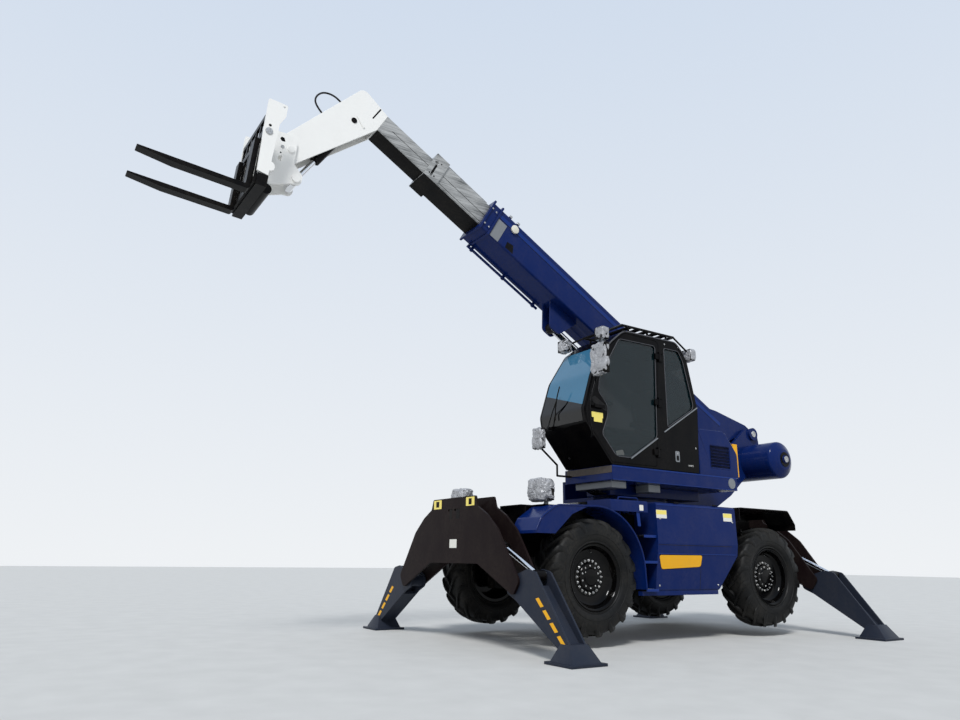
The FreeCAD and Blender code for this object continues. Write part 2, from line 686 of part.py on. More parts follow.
def counterweight():
    """Transverse drum with domed ends."""
    x, z, r, half = drum
    points = [(0, 0), (half + 25, 0), (half + 10, r * 0.55, 60), (half - 60, r, 60), (0, r)]
    wire = outline(points, lambda p: Vector(x, p.x, z + p.y))
    half_drum = Part.Face(wire).revolve(Vector(x, 0, z), Vector(0, 1, 0), 360)
    hub = rod((x, half, z), (x, half + 45, z), 55)
    half_drum = half_drum.fuse(hub)
    return fused([half_drum, mirrored(half_drum)])


def cowls():
    """Left cowl behind the cab, and the low cowl on the right deck."""
    z = sill_z[1] + fit_gap
    back = cowl_back_x
    left = [(-285, z), (-285, 2570, 20), (-800, 2585, 130), (back, 2300, 120), (back, z)]
    right = [(1050, z), (1050, 2330, 90), (-760, 2420, 160), (back, 2180, 80), (back, z)]
    side_y = 1118.0
    grille_x, grille_z, depth = (-880, -505), (2095, 2375), 14.0
    cowl = prism_y(left, (sill_inner_y, side_y)).cut(block(grille_x, (side_y - depth, side_y + 1), grille_z))
    slats = [block(grille_x, (side_y - depth, side_y - 3), (low, low + 12))
             for low in range(grille_z[0] + 28, grille_z[1] - 12, 40)]
    return Part.makeCompound([fused([cowl] + slats), prism_y(right, (-side_y, -sill_inner_y))])


def cooler_fan():
    """Square shroud with a round opening and its fan, behind the left cowl."""
    x = (cowl_back_x - fit_gap - 90, cowl_back_x - fit_gap)
    y = (620, 1060)
    z = (2010, 2450)
    middle = ((y[0] + y[1]) / 2, (z[0] + z[1]) / 2)
    shroud = block(x, y, z)
    shroud = shroud.cut(rod((x[0] - 10, *middle), (x[0] + 60, *middle), 190))
    hub = rod((x[0] + 8, *middle), (x[0] + 61, *middle), 55)
    blades = []
    for i in range(6):
        blade = block((x[0] + 22, x[0] + 34), (middle[0], middle[0] + 180), (middle[1] - 35, middle[1] + 35))
        blade.rotate(Vector(x[0], *middle), Vector(1, 0, 0), 60 * i)
        blades.append(blade)
    return fused([shroud, hub] + blades)


def cab_outline():
    """The cab's section in x, z, anticlockwise seen from the right-hand side."""
    return [(-225, sill_z[1] + 8), (1262, sill_z[1] + 8, 20), (1645, 2445, 90), (1668, 2600, 120),
            (1525, 3040, 260), (1250, 3450, 220), (985, 3645, 120), (60, 3652, 160), (-120, 3450, 120),
            (-272, 2800, 80)]


def door_outline():
    """The door's outline in x, z: the hinge line behind, the cab's outline in front."""
    lean = (hinge_head[0] - hinge_foot[0]) / (hinge_head[1] - hinge_foot[1])
    low, high = sill_z[1] + 36, 3612
    rear = [hinge_foot[0] + lean * (z - hinge_foot[1]) + 10 for z in (low, high)]
    front = inset(cab_outline(), 26)
    return [(rear[0], low, 30)] + [front[i] for i in (1, 2, 3, 4, 5, 6)] + [(rear[1], high, 60)]


def door_glass_outline():
    return [(500, 2370, 40), (960, 2085, 50), (1185, 2090, 60), (1400, 2330, 60), (1300, 2560, 60),
            (1300, 2670, 60), (1440, 2830, 50), (1415, 3000, 60), (1075, 3535, 70), (455, 3545, 60)]


def quarter_outline():
    return [(-170, 2800, 30), (300, 2520, 30), (300, 3545, 40), (30, 3545, 60), (-45, 3420, 60),
            (-190, 2860, 40)]


def windows():
    """Cuts through the cab's walls: name and shape."""
    y = (cab_y[0] + 70, cab_y[1] - 70)
    wide = (cab_y[0] - 10, cab_y[0] + cab_wall + 10)
    return {
        "windscreen": block((900, 1900), y, (2960, 3440)),
        "lower_front": block((1500, 1900), y, (2470, 2890)),
        "roof": block((250, 850), y, (3500, 3700)),
        "rear": block((-400, 60), y, (2860, 3360)),
        "quarter": prism_y(quarter_outline(), (cab_y[1] - cab_wall - 10, cab_y[1] + 10)),
        "right": prism_y(inset([(-170, 2600, 30), (1480, 2600, 30), (1380, 3000, 60), (1080, 3545, 70),
                                (30, 3545, 60)], 5), wide),
    }


def cab_shell():
    shape = cab_outline()
    shell = prism_y(shape, cab_y)
    shell = shell.cut(prism_y(inset(shape, cab_wall), (cab_y[0] + cab_wall, cab_y[1] - cab_wall)))
    for cut in windows().values():
        shell = shell.cut(cut)
    opening = inset(door_outline(), -door_gap)
    shell = shell.cut(prism_y(opening, (cab_y[1] - cab_wall - 1, cab_y[1] + 10)))
    feet = [block((x, x + 160), (cab_y[0] + 60, cab_y[1] - 60), (sill_z[1] + fit_gap, sill_z[1] + 8))
            for x in (-150, 1020)]
    return fused([shell] + feet + [hinge_lugs(share) for share in hinge_shares])


def on_hinge(share):
    """Point of the door's hinge line, from its foot to its head."""
    x = hinge_foot[0] + share * (hinge_head[0] - hinge_foot[0])
    z = hinge_foot[1] + share * (hinge_head[1] - hinge_foot[1])
    return Vector(x, hinge_y, z)


def hinge_lugs(share):
    """Pin of one door hinge, held at both ends by lugs on the cab."""
    middle = on_hinge(share)
    way = (on_hinge(1) - on_hinge(0)).normalize()
    start = middle - way * (hinge_half + 22)
    pieces = [Part.makeCylinder(hinge_pin_r, 2 * hinge_half + 44, start, way)]
    for end in (start, middle + way * (hinge_half + 2)):
        lug = block((end.x - 60, end.x + 8), (cab_y[1] - 1, hinge_y + hinge_pin_r), (end.z, end.z + 20))
        pieces.append(lug)
    return fused(pieces)


def hinge_sleeve(share):
    """The door's sleeve round a hinge's pin, with the leaf that joins it to the door."""
    middle = on_hinge(share)
    way = (on_hinge(1) - on_hinge(0)).normalize()
    start = middle - way * hinge_half
    sleeve = Part.makeCylinder(hinge_pin_r + 6, 2 * hinge_half, start, way)
    z = (middle.z - hinge_half + 4, middle.z + hinge_half - 4)
    leaf = block((middle.x, middle.x + 70), (cab_y[1] + 2, hinge_y + 4), z)
    pad = block((middle.x + 18, middle.x + 70), (cab_y[1] - 1, cab_y[1] + 2), z)
    bore = Part.makeCylinder(hinge_pin_r + fit_gap, 2 * hinge_half + 20, start - way * 10, way)
    return sleeve.fuse([leaf, pad]).cut(bore)


def cab_glass():
    """Panes set in the middle of the walls that they fill."""
    shape = cab_outline()
    depth = (cab_wall - glass_t) / 2
    skin = prism_y(inset(shape, depth), (cab_y[0], cab_y[1]))
    skin = skin.cut(prism_y(inset(shape, depth + glass_t), (cab_y[0], cab_y[1])))
    panes = []
    cuts = windows()
    for name in ("windscreen", "lower_front", "roof", "rear"):
        panes.append(skin.common(cuts[name]))
    left = block((-500, 1900), (cab_y[1] - depth - glass_t, cab_y[1] - depth), (1900, 3700))
    right = block((-500, 1900), (cab_y[0] + depth, cab_y[0] + depth + glass_t), (1900, 3700))
    panes.append(left.common(cuts["quarter"]))
    panes.append(right.common(cuts["right"]))
    return Part.makeCompound([solid for pane in panes for solid in pane.Solids])


def cab_door():
    y = (cab_y[1] - door_t, cab_y[1])
    door = prism_y(door_outline(), y)
    door = door.cut(prism_y(door_glass_outline(), (y[0] - 5, y[1] + 5)))
    handle = rod((1390, y[1] - 5, 2640), (1390, y[1] + 32, 2640), 14)
    grip = block((1375, 1530), (y[1] + 26, y[1] + 40), (2622, 2658))
    return fused([door, handle, grip] + [hinge_sleeve(share) for share in hinge_shares])


def door_glass():
    y = cab_y[1] - (door_t + glass_t) / 2
    return prism_y(door_glass_outline(), (y, y + glass_t))


def cab_interior():
    """Seat on its pedestal, a side console and the steering column."""
    floor = sill_z[1] + 8 + cab_wall + fit_gap
    mid_y = (cab_y[0] + cab_y[1]) / 2
    seat = fused([block((250, 700), (mid_y - 190, mid_y + 190), (floor, floor + 260)),
                  block((230, 760), (mid_y - 240, mid_y + 240), (floor + 260, floor + 400)),
                  block((110, 230), (mid_y - 220, mid_y + 220), (floor + 300, floor + 1050))])
    column = fused([block((1060, 1200), (mid_y - 90, mid_y + 90), (floor, floor + 420)),
                    rod((1130, mid_y, floor + 400), (1085, mid_y, floor + 760), 40),
                    rod((1085, mid_y, floor + 750), (1083, mid_y, floor + 772), 46),
                    Part.makeTorus(175, 14, Vector(1084, mid_y, floor + 762), Vector(0, 0, 1)),
                    rod((1084, mid_y - 172, floor + 762), (1084, mid_y + 172, floor + 762), 11),
                    rod((1084, mid_y, floor + 762), (1084 - 172, mid_y, floor + 762), 11)])
    return Part.makeCompound([seat, column])


def cab_fittings():
    """Roof guard, mirror and work lamps."""
    (x1, z1), (x0, z0) = [corner[:2] for corner in cab_outline()[6:8]]
    slope = (z1 - z0) / (x1 - x0)
    top = z0 + guard_h
    y = (cab_y[0] + 60, cab_y[1] - 60)
    rails = []
    for side in y:
        rails.append(rod((guard_x[0], side, top), (guard_x[1], side, top), 16))
        for x in (180, 520, 850):
            foot = z0 + slope * (x - x0) + fit_gap
            rails.append(rod((x, side, foot), (x, side, top), 14))
    for i in range(7):
        x = guard_x[0] + i * (guard_x[1] - guard_x[0]) / 6
        rails.append(rod((x, y[0], top), (x, y[1], top), 14))
    for side in y:
        rails.append(rod((guard_x[1], side, top), (1320, side, 3570), 12))
        rails.append(lamp((1265, 1375), side + 25, 3485))
    rails.append(rod((guard_x[0], y[1], top), (-250, y[1], 3570), 12))
    rails.append(lamp((-305, -205), y[1] - 10, 3475))
    hanger = (1550, 1300, 3330)
    rails.append(rod((1330, y[1] + 40, 3580), hanger, 12))
    rails.append(mirror((1520, 1585), (1190, 1440), (2985, 3345)))
    arm = [(sill_x[1] + fit_gap, 420, 1900), (1480, 420, 1900), (1480, 420, 2030), (1745, 420, 2230)]
    low = [rod(arm[i], arm[i + 1], 12) for i in range(3)]
    low += [Part.makeSphere(12, Vector(*arm[i])) for i in (1, 2)]
    low.append(mirror((1728, 1795), (335, 510), (2205, 2450)))
    return Part.makeCompound([fused(rails), fused(low)])


def lamp(x, middle_y, low):
    """Work lamp in its housing, which tapers to the back."""
    body = block(x, (middle_y - 72, middle_y + 72), (low, low + 148))
    return body.makeFillet(22, [e for e in body.Edges if abs(e.CenterOfMass.x - x[0]) < 1])


def mirror(x, y, z):
    body = block(x, y, z)
    return body.makeFillet(24, [e for e in body.Edges if abs(e.CenterOfMass.x - x[1]) < 1])


def boom_base():
    tube = section(base_a, base_h, base_half_y, base_wall)
    a0, a1 = base_a
    low, high = base_h[0] - flange_out, base_h[1] + flange_out
    pieces = [tube]
    for a in (a1 - collar_t, a1 - 4.5 * collar_t - 40):
        pieces.append(prism_boom([(a + collar_t, low), (a + collar_t, high), (a, high), (a, low)],
                                 (-base_half_y - 18, base_half_y + 18)))
    ear = [(a0 + 500, base_h[1] - 30), (a0 + 330, base_h[1] + 40, 60), (110, 105, 105), (-105, 105, 100),
           (-110, -110, 100), (40, -155, 60), (a0 - 200, -210, 60), (a0 - 110, -330, 60),
           (a0 + 10, base_h[0] + 30), (a0 + 200, base_h[0] + 30)]
    for y in ((base_half_y - 35, base_half_y), (-base_half_y, 35 - base_half_y)):
        pieces.append(prism_boom(ear[::-1], y))
    pieces.append(rod(tuple(on_boom(0, 0, -base_half_y)), tuple(on_boom(0, 0, base_half_y)), pivot_tube_r))
    lug = [(lift_eye[0] - 260, base_h[0] + 5), (lift_eye[0] - 90, lift_eye[1] - 70, 70),
           (lift_eye[0] + 80, lift_eye[1] - 70, 70), (lift_eye[0] + 260, base_h[0] + 5)]
    for side in (1, -1):
        y = sorted((side * (lift_eye_half_y + 6), side * (lift_eye_half_y + 31)))
        pieces.append(prism_boom(lug, y))
    pipe_a, pipe_h, pipe_y = (a1 - 1445, a1 - 125), low - pipe_r - 6, -200
    pieces.append(rod(*(tuple(on_boom(a, pipe_h, pipe_y)) for a in pipe_a), pipe_r))
    for a in (pipe_a[0] + 80, (pipe_a[0] + pipe_a[1]) / 2, pipe_a[1] - 80):
        foot = pipe_h - pipe_r - 8
        clip = [(a - 20, foot), (a + 20, foot), (a + 20, base_h[0] + 5), (a - 20, base_h[0] + 5)]
        pieces.append(prism_boom(clip, (pipe_y - 14, pipe_y + 14)))
    whole = fused(pieces)
    room = slide_gap
    slot = [(-mid_half_y - room, mid_h[0] - room, 22), (mid_half_y + room, mid_h[0] - room, 22),
            (mid_half_y + room, mid_h[1] + room, 22), (-mid_half_y - room, mid_h[1] + room, 22)]
    wire = outline(slot, lambda p: on_boom(a0 + 100, p.y, p.x))
    bore = Part.Face(wire).extrude(on_boom(a1 + 50, 0) - on_boom(a0 + 100, 0))
    pin = rod(tuple(on_boom(0, 0, -400)), tuple(on_boom(0, 0, 400)), pivot_pin_r + fit_gap)
    return whole.cut(bore).cut(pin)


def boom_mid():
    tube = section(mid_a, mid_h, mid_half_y, mid_wall)
    back = mid_a[1] - mid_collar
    collar = prism_boom([(back, mid_h[0] - 20), (back, mid_h[1] + 20), (mid_a[1], mid_h[1] + 20),
                         (mid_a[1], mid_h[0] - 20)][::-1], (-mid_half_y - 18, mid_half_y + 18))
    slot = [(mid_a[1] - 98, mid_h[0] + 20), (mid_a[1] - 68, mid_h[0] + 20), (mid_a[1] - 52, mid_h[1] - 70),
            (mid_a[1] - 82, mid_h[1] - 90)]
    collar = collar.cut(prism_boom(slot, (-mid_half_y - 30, mid_half_y + 30)))
    sheave_a, sheave_h, sheave_r = mid_a[1] - 155, mid_h[1] + 90, 65
    cheeks = [prism_boom([(sheave_a - 45, mid_h[1] + 10), (sheave_a + 45, mid_h[1] + 10),
                          (sheave_a + 30, sheave_h + 30, 25), (sheave_a - 30, sheave_h + 30, 25)], y)
              for y in ((-35, -22), (22, 35))]
    sheave = rod(tuple(on_boom(sheave_a, sheave_h, -15)), tuple(on_boom(sheave_a, sheave_h, 15)), sheave_r)
    axle_pin = rod(tuple(on_boom(sheave_a, sheave_h, -42)), tuple(on_boom(sheave_a, sheave_h, 42)), 14)
    stay = rod(tuple(on_boom(sheave_a, sheave_h + sheave_r - 10)),
               tuple(on_boom(base_a[1] + 20, sheave_h + sheave_r - 10)), 10)
    whole = fused([tube, collar, sheave, axle_pin, stay] + cheeks)
    room = slide_gap
    slot = [(-inner_half_y - room, inner_h[0] - room, 22), (inner_half_y + room, inner_h[0] - room, 22),
            (inner_half_y + room, inner_h[1] + room, 22), (-inner_half_y - room, inner_h[1] + room, 22)]
    wire = outline(slot, lambda p: on_boom(mid_a[0] - 10, p.y, p.x))
    bore = Part.Face(wire).extrude(on_boom(mid_a[1] + 50, 0) - on_boom(mid_a[0] - 10, 0))
    return whole.cut(bore)


def boom_inner():
    return section(inner_a, inner_h, inner_half_y, inner_wall)


def boom_head():
    """Drooping box head, open below where the tilt cylinder runs."""
    top = on_boom(inner_a[1] + fit_gap, inner_h[1])
    low = on_boom(inner_a[1] + fit_gap, inner_h[0])
    px, pz = tilt_pivot
    points = [(low.x, low.z), (px - 70, pz - 135), (px + 125, pz - 125, 120), (px + 125, pz + 130, 120),
              (4170, 6425, 90), (top.x, top.z)]
    inside = head_half_y - head_wall
    shell = prism_y(points, (-head_half_y, head_half_y))
    throat = [(low.x + 40, low.z - 60), (px - 20, pz - 260), (px + 300, pz - 200), (px + 30, pz + 165),
              (4190, 6370), (4020, 6260)]
    shell = shell.cut(prism_y(throat, (-inside, inside)))
    pins = [rod((px, -head_half_y, pz), (px, head_half_y, pz), 75),
            rod((tilt_base[0], -inside, tilt_base[1]), (tilt_base[0], inside, tilt_base[1]), cylinder_pin_r)]
    for side in (1, -1):
        y = sorted((side * 66, side * inside))
        pins.append(rod((tilt_base[0], y[0], tilt_base[1]), (tilt_base[0], y[1], tilt_base[1]), 50))
    whole = fused([shell] + pins)
    return whole.cut(rod((px, -200, pz), (px, 200, pz), 40 + fit_gap))


def leaned(shape):
    """Carriage pieces are drawn upright and lean back about the tilt pin."""
    shape.rotate(Vector(tilt_pivot[0], 0, tilt_pivot[1]), Vector(0, 1, 0), -fork_back_deg)
    return shape


def upright(point):
    """Where a leaned point lies before the carriage leans."""
    turn = math.radians(fork_back_deg)
    x, z = point[0] - tilt_pivot[0], point[1] - tilt_pivot[1]
    return (tilt_pivot[0] + x * math.cos(turn) + z * math.sin(turn),
            tilt_pivot[1] - x * math.sin(turn) + z * math.cos(turn))


def carriage():
    """Hitch plates, cross tubes and the two side plates."""
    px, pz = tilt_pivot
    ex, ez = upright(tilt_eye)
    pieces = []
    inner = head_half_y + hitch_gap
    hitch = [(px - 60, pz + 190, 90), (px + 215, pz + 160, 60), (px + 350, pz + 20, 40),
             (px + 350, pz - 80, 40), (px + 290, pz - 560, 30),
             (ex + 40, ez - 75, 60), (ex - 75, ez - 60, 60), (ex - 70, ez + 60, 60), (px - 60, ez + 170, 80)]
    for side in (1, -1):
        y = sorted((side * inner, side * (inner + hitch_t)))
        moon = rod((px + 92, y[0], pz - 150), (px + 92, y[1], pz - 150), 34)
        moon = moon.common(block((px + 84, px + 140), y, (pz - 200, pz - 100)))
        pieces.append(prism_y(hitch[::-1], y).cut(moon))
        y = sorted((side * cheek_y, side * (cheek_y + hitch_t)))
        cheek = [(px + 186, pz + 315, 20), (px + 399, pz + 316, 20), (px + 390, pz - 60), (px + 373, pz - 555),
                 (px + 251, pz - 574), (px + 236, pz + 60, 40), (px + 186, pz + 174, 40)]
        hole = rod((px + 224, y[0], pz + 280), (px + 224, y[1], pz + 280), 13)
        pieces.append(prism_y(cheek[::-1], y).cut(hole))
    for x, z, r in ((px + 300, pz - 30, 48), (px + 255, pz - 460, 55)):
        pieces.append(rod((x, -cheek_y - hitch_t, z), (x, cheek_y + hitch_t, z), r))
    pieces.append(rod((px, -inner - hitch_t - 12, pz), (px, inner + hitch_t + 12, pz), 40))
    for side in (1, -1):
        y = sorted((side * inner, side * (inner + hitch_t + 22)))
        pieces.append(rod((ex, y[0], ez), (ex, y[1], ez), 48))
    return leaned(fused(pieces))


def fork_frame():
    """Load guard: rails, bars and the cross box under them."""
    x = (shank_x - grid_t, shank_x)
    y = cheek_y - fit_gap
    low, high = heel_z + 10, tilt_pivot[1] + 150
    pieces = [block(x, (-y, y), z) for z in ((high - 60, high), (low, low + 70),
                                             (tilt_pivot[1] - 130, tilt_pivot[1] - 60))]
    for i in range(6):
        bar_y = -y + i * (2 * y - 30) / 5
        pieces.append(block((x[0] + 4, x[1] - 4), (bar_y, bar_y + 30), (low, high)))
    beam_x = (x[0] - 112, x[0])
    pieces.append(block(beam_x, (-cheek_y - hitch_t, cheek_y + hitch_t), (heel_z - 15, heel_z + 120)))
    tube_x = beam_x[0] - 55
    pieces.append(rod((tube_x, -cheek_y, heel_z + 110), (tube_x, 200, heel_z + 110), 60))
    return leaned(fused(pieces))


def forks():
    """Two forks, each a blade that thins to its tip and an upright shank."""
    pair = []
    x0 = shank_x + fit_gap
    top = heel_z
    tip = x0 + fork_t + fork_len
    for side in (1, -1):
        y = (side * fork_y - fork_w / 2, side * fork_y + fork_w / 2)
        points = [(x0, top - fork_t, 30), (tip - 350, top - fork_t), (tip - fork_tip_r, top - 2 * fork_tip_r),
                  (tip - fork_tip_r, top), (x0 + fork_t, top, 12), (x0 + fork_t, top + 560, 10),
                  (x0, top + 560, 10)]
        nose = rod((tip - fork_tip_r, y[0], top - fork_tip_r), (tip - fork_tip_r, y[1], top - fork_tip_r),
                   fork_tip_r)
        pair.append(fused([prism_y(points, y), nose]))
    return leaned(Part.makeCompound(pair))


def lift_cylinder():
    eye = on_boom(*lift_eye)
    side = Vector(0, lift_eye_half_y, 0)
    return cylinder_pair((lift_base[0], 0, lift_base[1]), tuple(eye), lift_barrel_r, lift_bore_r, lift_rod_r,
                         lift_gland, lift_rod_tail, lift_eye_r, (side, side))


def tilt_cylinder():
    side = Vector(0, 55, 0)
    return cylinder_pair((tilt_base[0], 0, tilt_base[1]), (tilt_eye[0], 0, tilt_eye[1]), tilt_barrel_r,
                         tilt_bore_r, tilt_rod_r, tilt_gland, tilt_rod_tail, 55.0, (side, Vector(0, 90, 0)))


def main():
    write("chassis_frame", chassis_frame())
    for end in ("front", "rear"):
        write(end + "_stabiliser_frame", stabiliser_frame(end))
        write(end + "_axle", axle(axle_x[end]))
        barrel, stem = leg_cylinder(end)
        for name, side in (("left", 1), ("right", -1)):
            place = end + "_" + name
            write("knuckle_" + place, knuckle(axle_x[end], side))
            write("rim_" + place, rim(axle_x[end], side))
            write("tyre_" + place, tyre(axle_x[end], side))
            write("leg_" + place, leg(end, side))
            write("leg_barrel_" + place, barrel if side > 0 else mirrored(barrel))
            write("leg_rod_" + place, stem if side > 0 else mirrored(stem))
    for name, make in (("front_fenders", front_fender), ("rear_fenders", rear_fender)):
        left = make()
        write(name, Part.makeCompound([left, mirrored(left)]))
    write("left_tank", Part.makeCompound([left_tank(), step_box()]))
    write("right_hood", right_hood())
    write("engine_block", engine_block())
    write("steps", steps())
    write("head_lamps", head_lamps())
    write("turret_frame", turret_frame())
    write("platform", platform())
    write("counterweight", counterweight())
    write("cowls", cowls())
    write("cooler_fan", cooler_fan())
    write("cab_shell", cab_shell())
    write("cab_glass", cab_glass())
    write("cab_interior", cab_interior())
    write("cab_fittings", cab_fittings())
    write("cab_door", cab_door())
    write("door_glass", door_glass())
    write("boom_base", boom_base())
    write("boom_mid", boom_mid())
    write("boom_inner", boom_inner())
    write("boom_head", boom_head())
    for name, make in (("lift", lift_cylinder), ("tilt", tilt_cylinder)):
        barrel, stem = make()
        write(name + "_barrel", barrel)
        write(name + "_rod", stem)
    write("fork_carriage", carriage())
    write("fork_frame", fork_frame())
    write("forks", forks())


if __name__ == "__main__":
    main()
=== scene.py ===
import json
import bmesh
import bpy
import numpy as np
from mathutils import Matrix, Vector


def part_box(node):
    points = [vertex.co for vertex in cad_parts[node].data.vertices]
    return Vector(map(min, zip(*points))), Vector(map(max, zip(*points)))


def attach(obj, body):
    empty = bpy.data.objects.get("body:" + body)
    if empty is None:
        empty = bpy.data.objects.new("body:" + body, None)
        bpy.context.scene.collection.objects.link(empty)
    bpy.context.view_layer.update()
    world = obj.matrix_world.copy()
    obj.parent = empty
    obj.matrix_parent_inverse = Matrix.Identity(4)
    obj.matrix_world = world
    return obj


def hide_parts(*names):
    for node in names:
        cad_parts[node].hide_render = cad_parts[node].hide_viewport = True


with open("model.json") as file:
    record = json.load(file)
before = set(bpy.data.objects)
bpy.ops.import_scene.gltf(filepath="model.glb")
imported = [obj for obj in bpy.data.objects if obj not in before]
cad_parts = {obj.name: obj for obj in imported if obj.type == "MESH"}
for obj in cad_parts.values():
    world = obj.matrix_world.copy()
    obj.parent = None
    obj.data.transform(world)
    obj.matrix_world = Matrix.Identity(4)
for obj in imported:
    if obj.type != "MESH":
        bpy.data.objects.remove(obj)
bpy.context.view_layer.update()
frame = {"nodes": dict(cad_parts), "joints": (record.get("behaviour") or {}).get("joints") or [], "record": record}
joints = {joint["name"]: joint for joint in frame["joints"]}
slewX = joints["slew"]["pos_m"][0]  # every x below is counted from the slew centre
print("frame loaded")


# Sockets and finishes

class Socket:
    # a value in a node tree; arithmetic on it adds Math nodes
    def __init__(self, nodes, link):
        self.nodes, self.link = nodes, link

    def do(self, operation, *others, clamp=False):
        return self.nodes.node("ShaderNodeMath", {"operation": operation, "use_clamp": clamp}, self, *others)

    def __add__(self, other):
        return self.do("ADD", other)

    def __mul__(self, other):
        return self.do("MULTIPLY", other)

    def above(self, level, soft):
        # 0 below the level, 1 above it, with a soft step of that width
        return self.do("MULTIPLY_ADD", 1 / soft, 0.5 - level / soft, clamp=True)


class Nodes:
    # a node tree, the shader in it that is fed, and the place that its patterns follow
    def __init__(self, tree, shader, place):
        self.tree, self.shader = tree, tree.nodes[shader]
        self.place = self.node("ShaderNodeTexCoord", out=place)

    def node(self, kind, settings=None, *values, out=0, **named):
        made = self.tree.nodes.new(kind)
        for key, value in (settings or {}).items():
            setattr(made, key, value)
        for key, value in list(enumerate(values)) + list(named.items()):
            socket = made.inputs[key.replace("_", " ") if isinstance(key, str) else key]
            if isinstance(value, Socket):
                self.tree.links.new(value.link, socket)
            elif value is not None:
                socket.default_value = value
        return Socket(self, made.outputs[out])

    def noise(self, scale, detail=4.0, stretch=(1, 1, 1), turn=(0, 0, 0)):
        place = self.node("ShaderNodeMapping", None, self.place, (0, 0, 0), turn, stretch)
        return self.node("ShaderNodeTexNoise", None, Vector=place, Scale=scale, Detail=detail)

    def blend(self, share, low, high):
        return self.node("ShaderNodeMix", {"data_type": "RGBA"}, share, None, None, None, None, None,
                         low, high, out=2)

    def height(self):
        return self.node("ShaderNodeSeparateXYZ", None, self.place, out=2)

    def feed(self, **links):
        for socket, value in links.items():
            self.tree.links.new(value.link, self.shader.inputs[socket.replace("_", " ")])
        return self

    def bumped(self, height, strength, distance):
        return self.feed(Normal=self.node("ShaderNodeBump", None, Strength=strength, Distance=distance,
                                          Height=height))


class Finish(Nodes):
    # one material: a Principled shader and the nodes that feed it
    def __init__(self, name, **fixed):
        self.material = bpy.data.materials.new(name)
        self.material.use_nodes = True
        super().__init__(self.material.node_tree, "Principled BSDF", "Object")
        for socket, value in fixed.items():
            self.shader.inputs[socket.replace("_", " ")].default_value = value


def rgb(red, green, blue):
    # a colour as it is read off a screen, 0 to 255, made linear
    return tuple(np.power(np.array([red, green, blue]) / 255, 2.2)) + (1.0,)


roadDust = (122, 112, 98)


# Paint: a ground colour mottled a little, a film of road dust in patches, orange peel
def paint(name, colour, dust=0.12, rough=0.25, coat=0.0, gloss=0.16, peel=0.12, worn=0.04):
    made = Finish(name, Coat_Weight=coat, Coat_Roughness=0.05, Specular_IOR_Level=gloss)
    ground = rgb(*colour)
    pale = tuple(min(1.0, c * 1.4 + 0.004) for c in ground[:3]) + (1.0,)
    mottle = made.noise(2.2, 5)
    fine = made.noise(28, 6)
    tone = made.blend(mottle.above(0.55, 0.5) * worn * 4, ground, pale)
    film = made.noise(5.5, 8, (1, 1, 0.5)).above(0.5, 0.4) * fine.above(0.42, 0.4)
    cover = film * 0.5 * dust
    tone = made.blend(cover, tone, rgb(*roadDust))
    made.feed(Base_Color=tone, Roughness=cover * 0.5 + (mottle * 0.1 + (rough - 0.05)))
    return made.bumped(made.noise(260, 2) * peel + fine * 0.25, 0.1, 0.003).material


finishes = {
    "navy": paint("navyPaint", (13, 36, 88), rough=0.18, coat=0.05, gloss=0.09),
    # a lighter copy of the navy for folds, ledges and edges: painted highlight
    "navyEdge": paint("navyEdge", (22, 50, 114), rough=0.3, gloss=0.12),
    "black": paint("blackPaint", (13, 13, 16), rough=0.3, gloss=0.08),
    "brown": paint("plateBlack", (32, 25, 26), rough=0.42, gloss=0.05),
    "web": paint("legWeb", (42, 47, 58), rough=0.35, gloss=0.1),
    # near black: painted shade under the boom sections and in holes and slots, and the dark lines of grooves
    "under": paint("boomUnderside", (15, 15, 17), rough=0.45, gloss=0.08),
    "white": paint("whitePaint", (247, 246, 242), rough=0.3, coat=0.2, dust=0.06, gloss=0.4, worn=0.01),
    "cream": paint("faceWhite", (226, 222, 206), rough=0.35, dust=0.25, gloss=0.3),
    "yellow": paint("yellowPaint", (240, 172, 20), rough=0.35, gloss=0.3),
    "rim": paint("rimPaint", (8, 8, 10), rough=0.12, coat=0.05, dust=0.05, gloss=0.12),
    "cast": paint("castBlack", (17, 17, 19), rough=0.5, dust=0.3, peel=0.5, gloss=0.12),
    "plastic": paint("blackPlastic", (17, 17, 19), rough=0.5, peel=0.6, gloss=0.2),
    "cabBlack": paint("cabBlack", (10, 10, 13), rough=0.2, coat=0.03, dust=0.05, gloss=0.07),
    # grey of the rubber seals, lightened as a painted highlight along them
    "seal": paint("windowSeal", (74, 74, 78), rough=0.3, dust=0.05, gloss=0.3),
    "frontPlate": paint("deckPlate", (74, 68, 66), rough=0.5, gloss=0.2, dust=0.6),
    "steel": paint("greySteel", (120, 124, 128), rough=0.35, gloss=0.4),
    "label": paint("labelYellow", (244, 222, 116), rough=0.4, gloss=0.3, dust=0.05),
    "labelWhite": paint("labelWhite", (226, 224, 214), rough=0.4, gloss=0.3, dust=0.05),
    "seat": paint("seatCloth", (30, 30, 34), rough=0.85, peel=1.5, gloss=0.1),
}
# the second pane's blue is a painted sky reflection and the third's near black a painted shade
for key, name, tint, see in (("glass", "cabGlass", (20, 36, 40), 0.66),
                             ("frontGlass", "frontGlass", (62, 112, 142), 0.9),
                             ("lowGlass", "lowGlass", (10, 11, 13), 0.94)):
    made = Finish(name, Specular_IOR_Level=0.5, Base_Color=rgb(*tint))
    smear = made.noise(3, 6)
    made.feed(Roughness=smear.above(0.55, 0.4) * 0.06 + 0.02, Alpha=smear.above(0.6, 0.5) * 0.08 + see)
    finishes[key] = made.material

made = Finish("tyreRubber", Specular_IOR_Level=0.22)
fine = made.noise(40, 8)
dust = made.noise(4, 6).above(0.5, 0.35) * fine.above(0.45, 0.3)
made.feed(Base_Color=made.blend(dust * 0.2, rgb(14, 15, 16), rgb(84, 80, 74)), Roughness=dust * 0.25 + 0.46)
finishes["rubber"] = made.bumped(fine * 0.7 + made.noise(180, 3) * 0.3, 0.2, 0.003).material

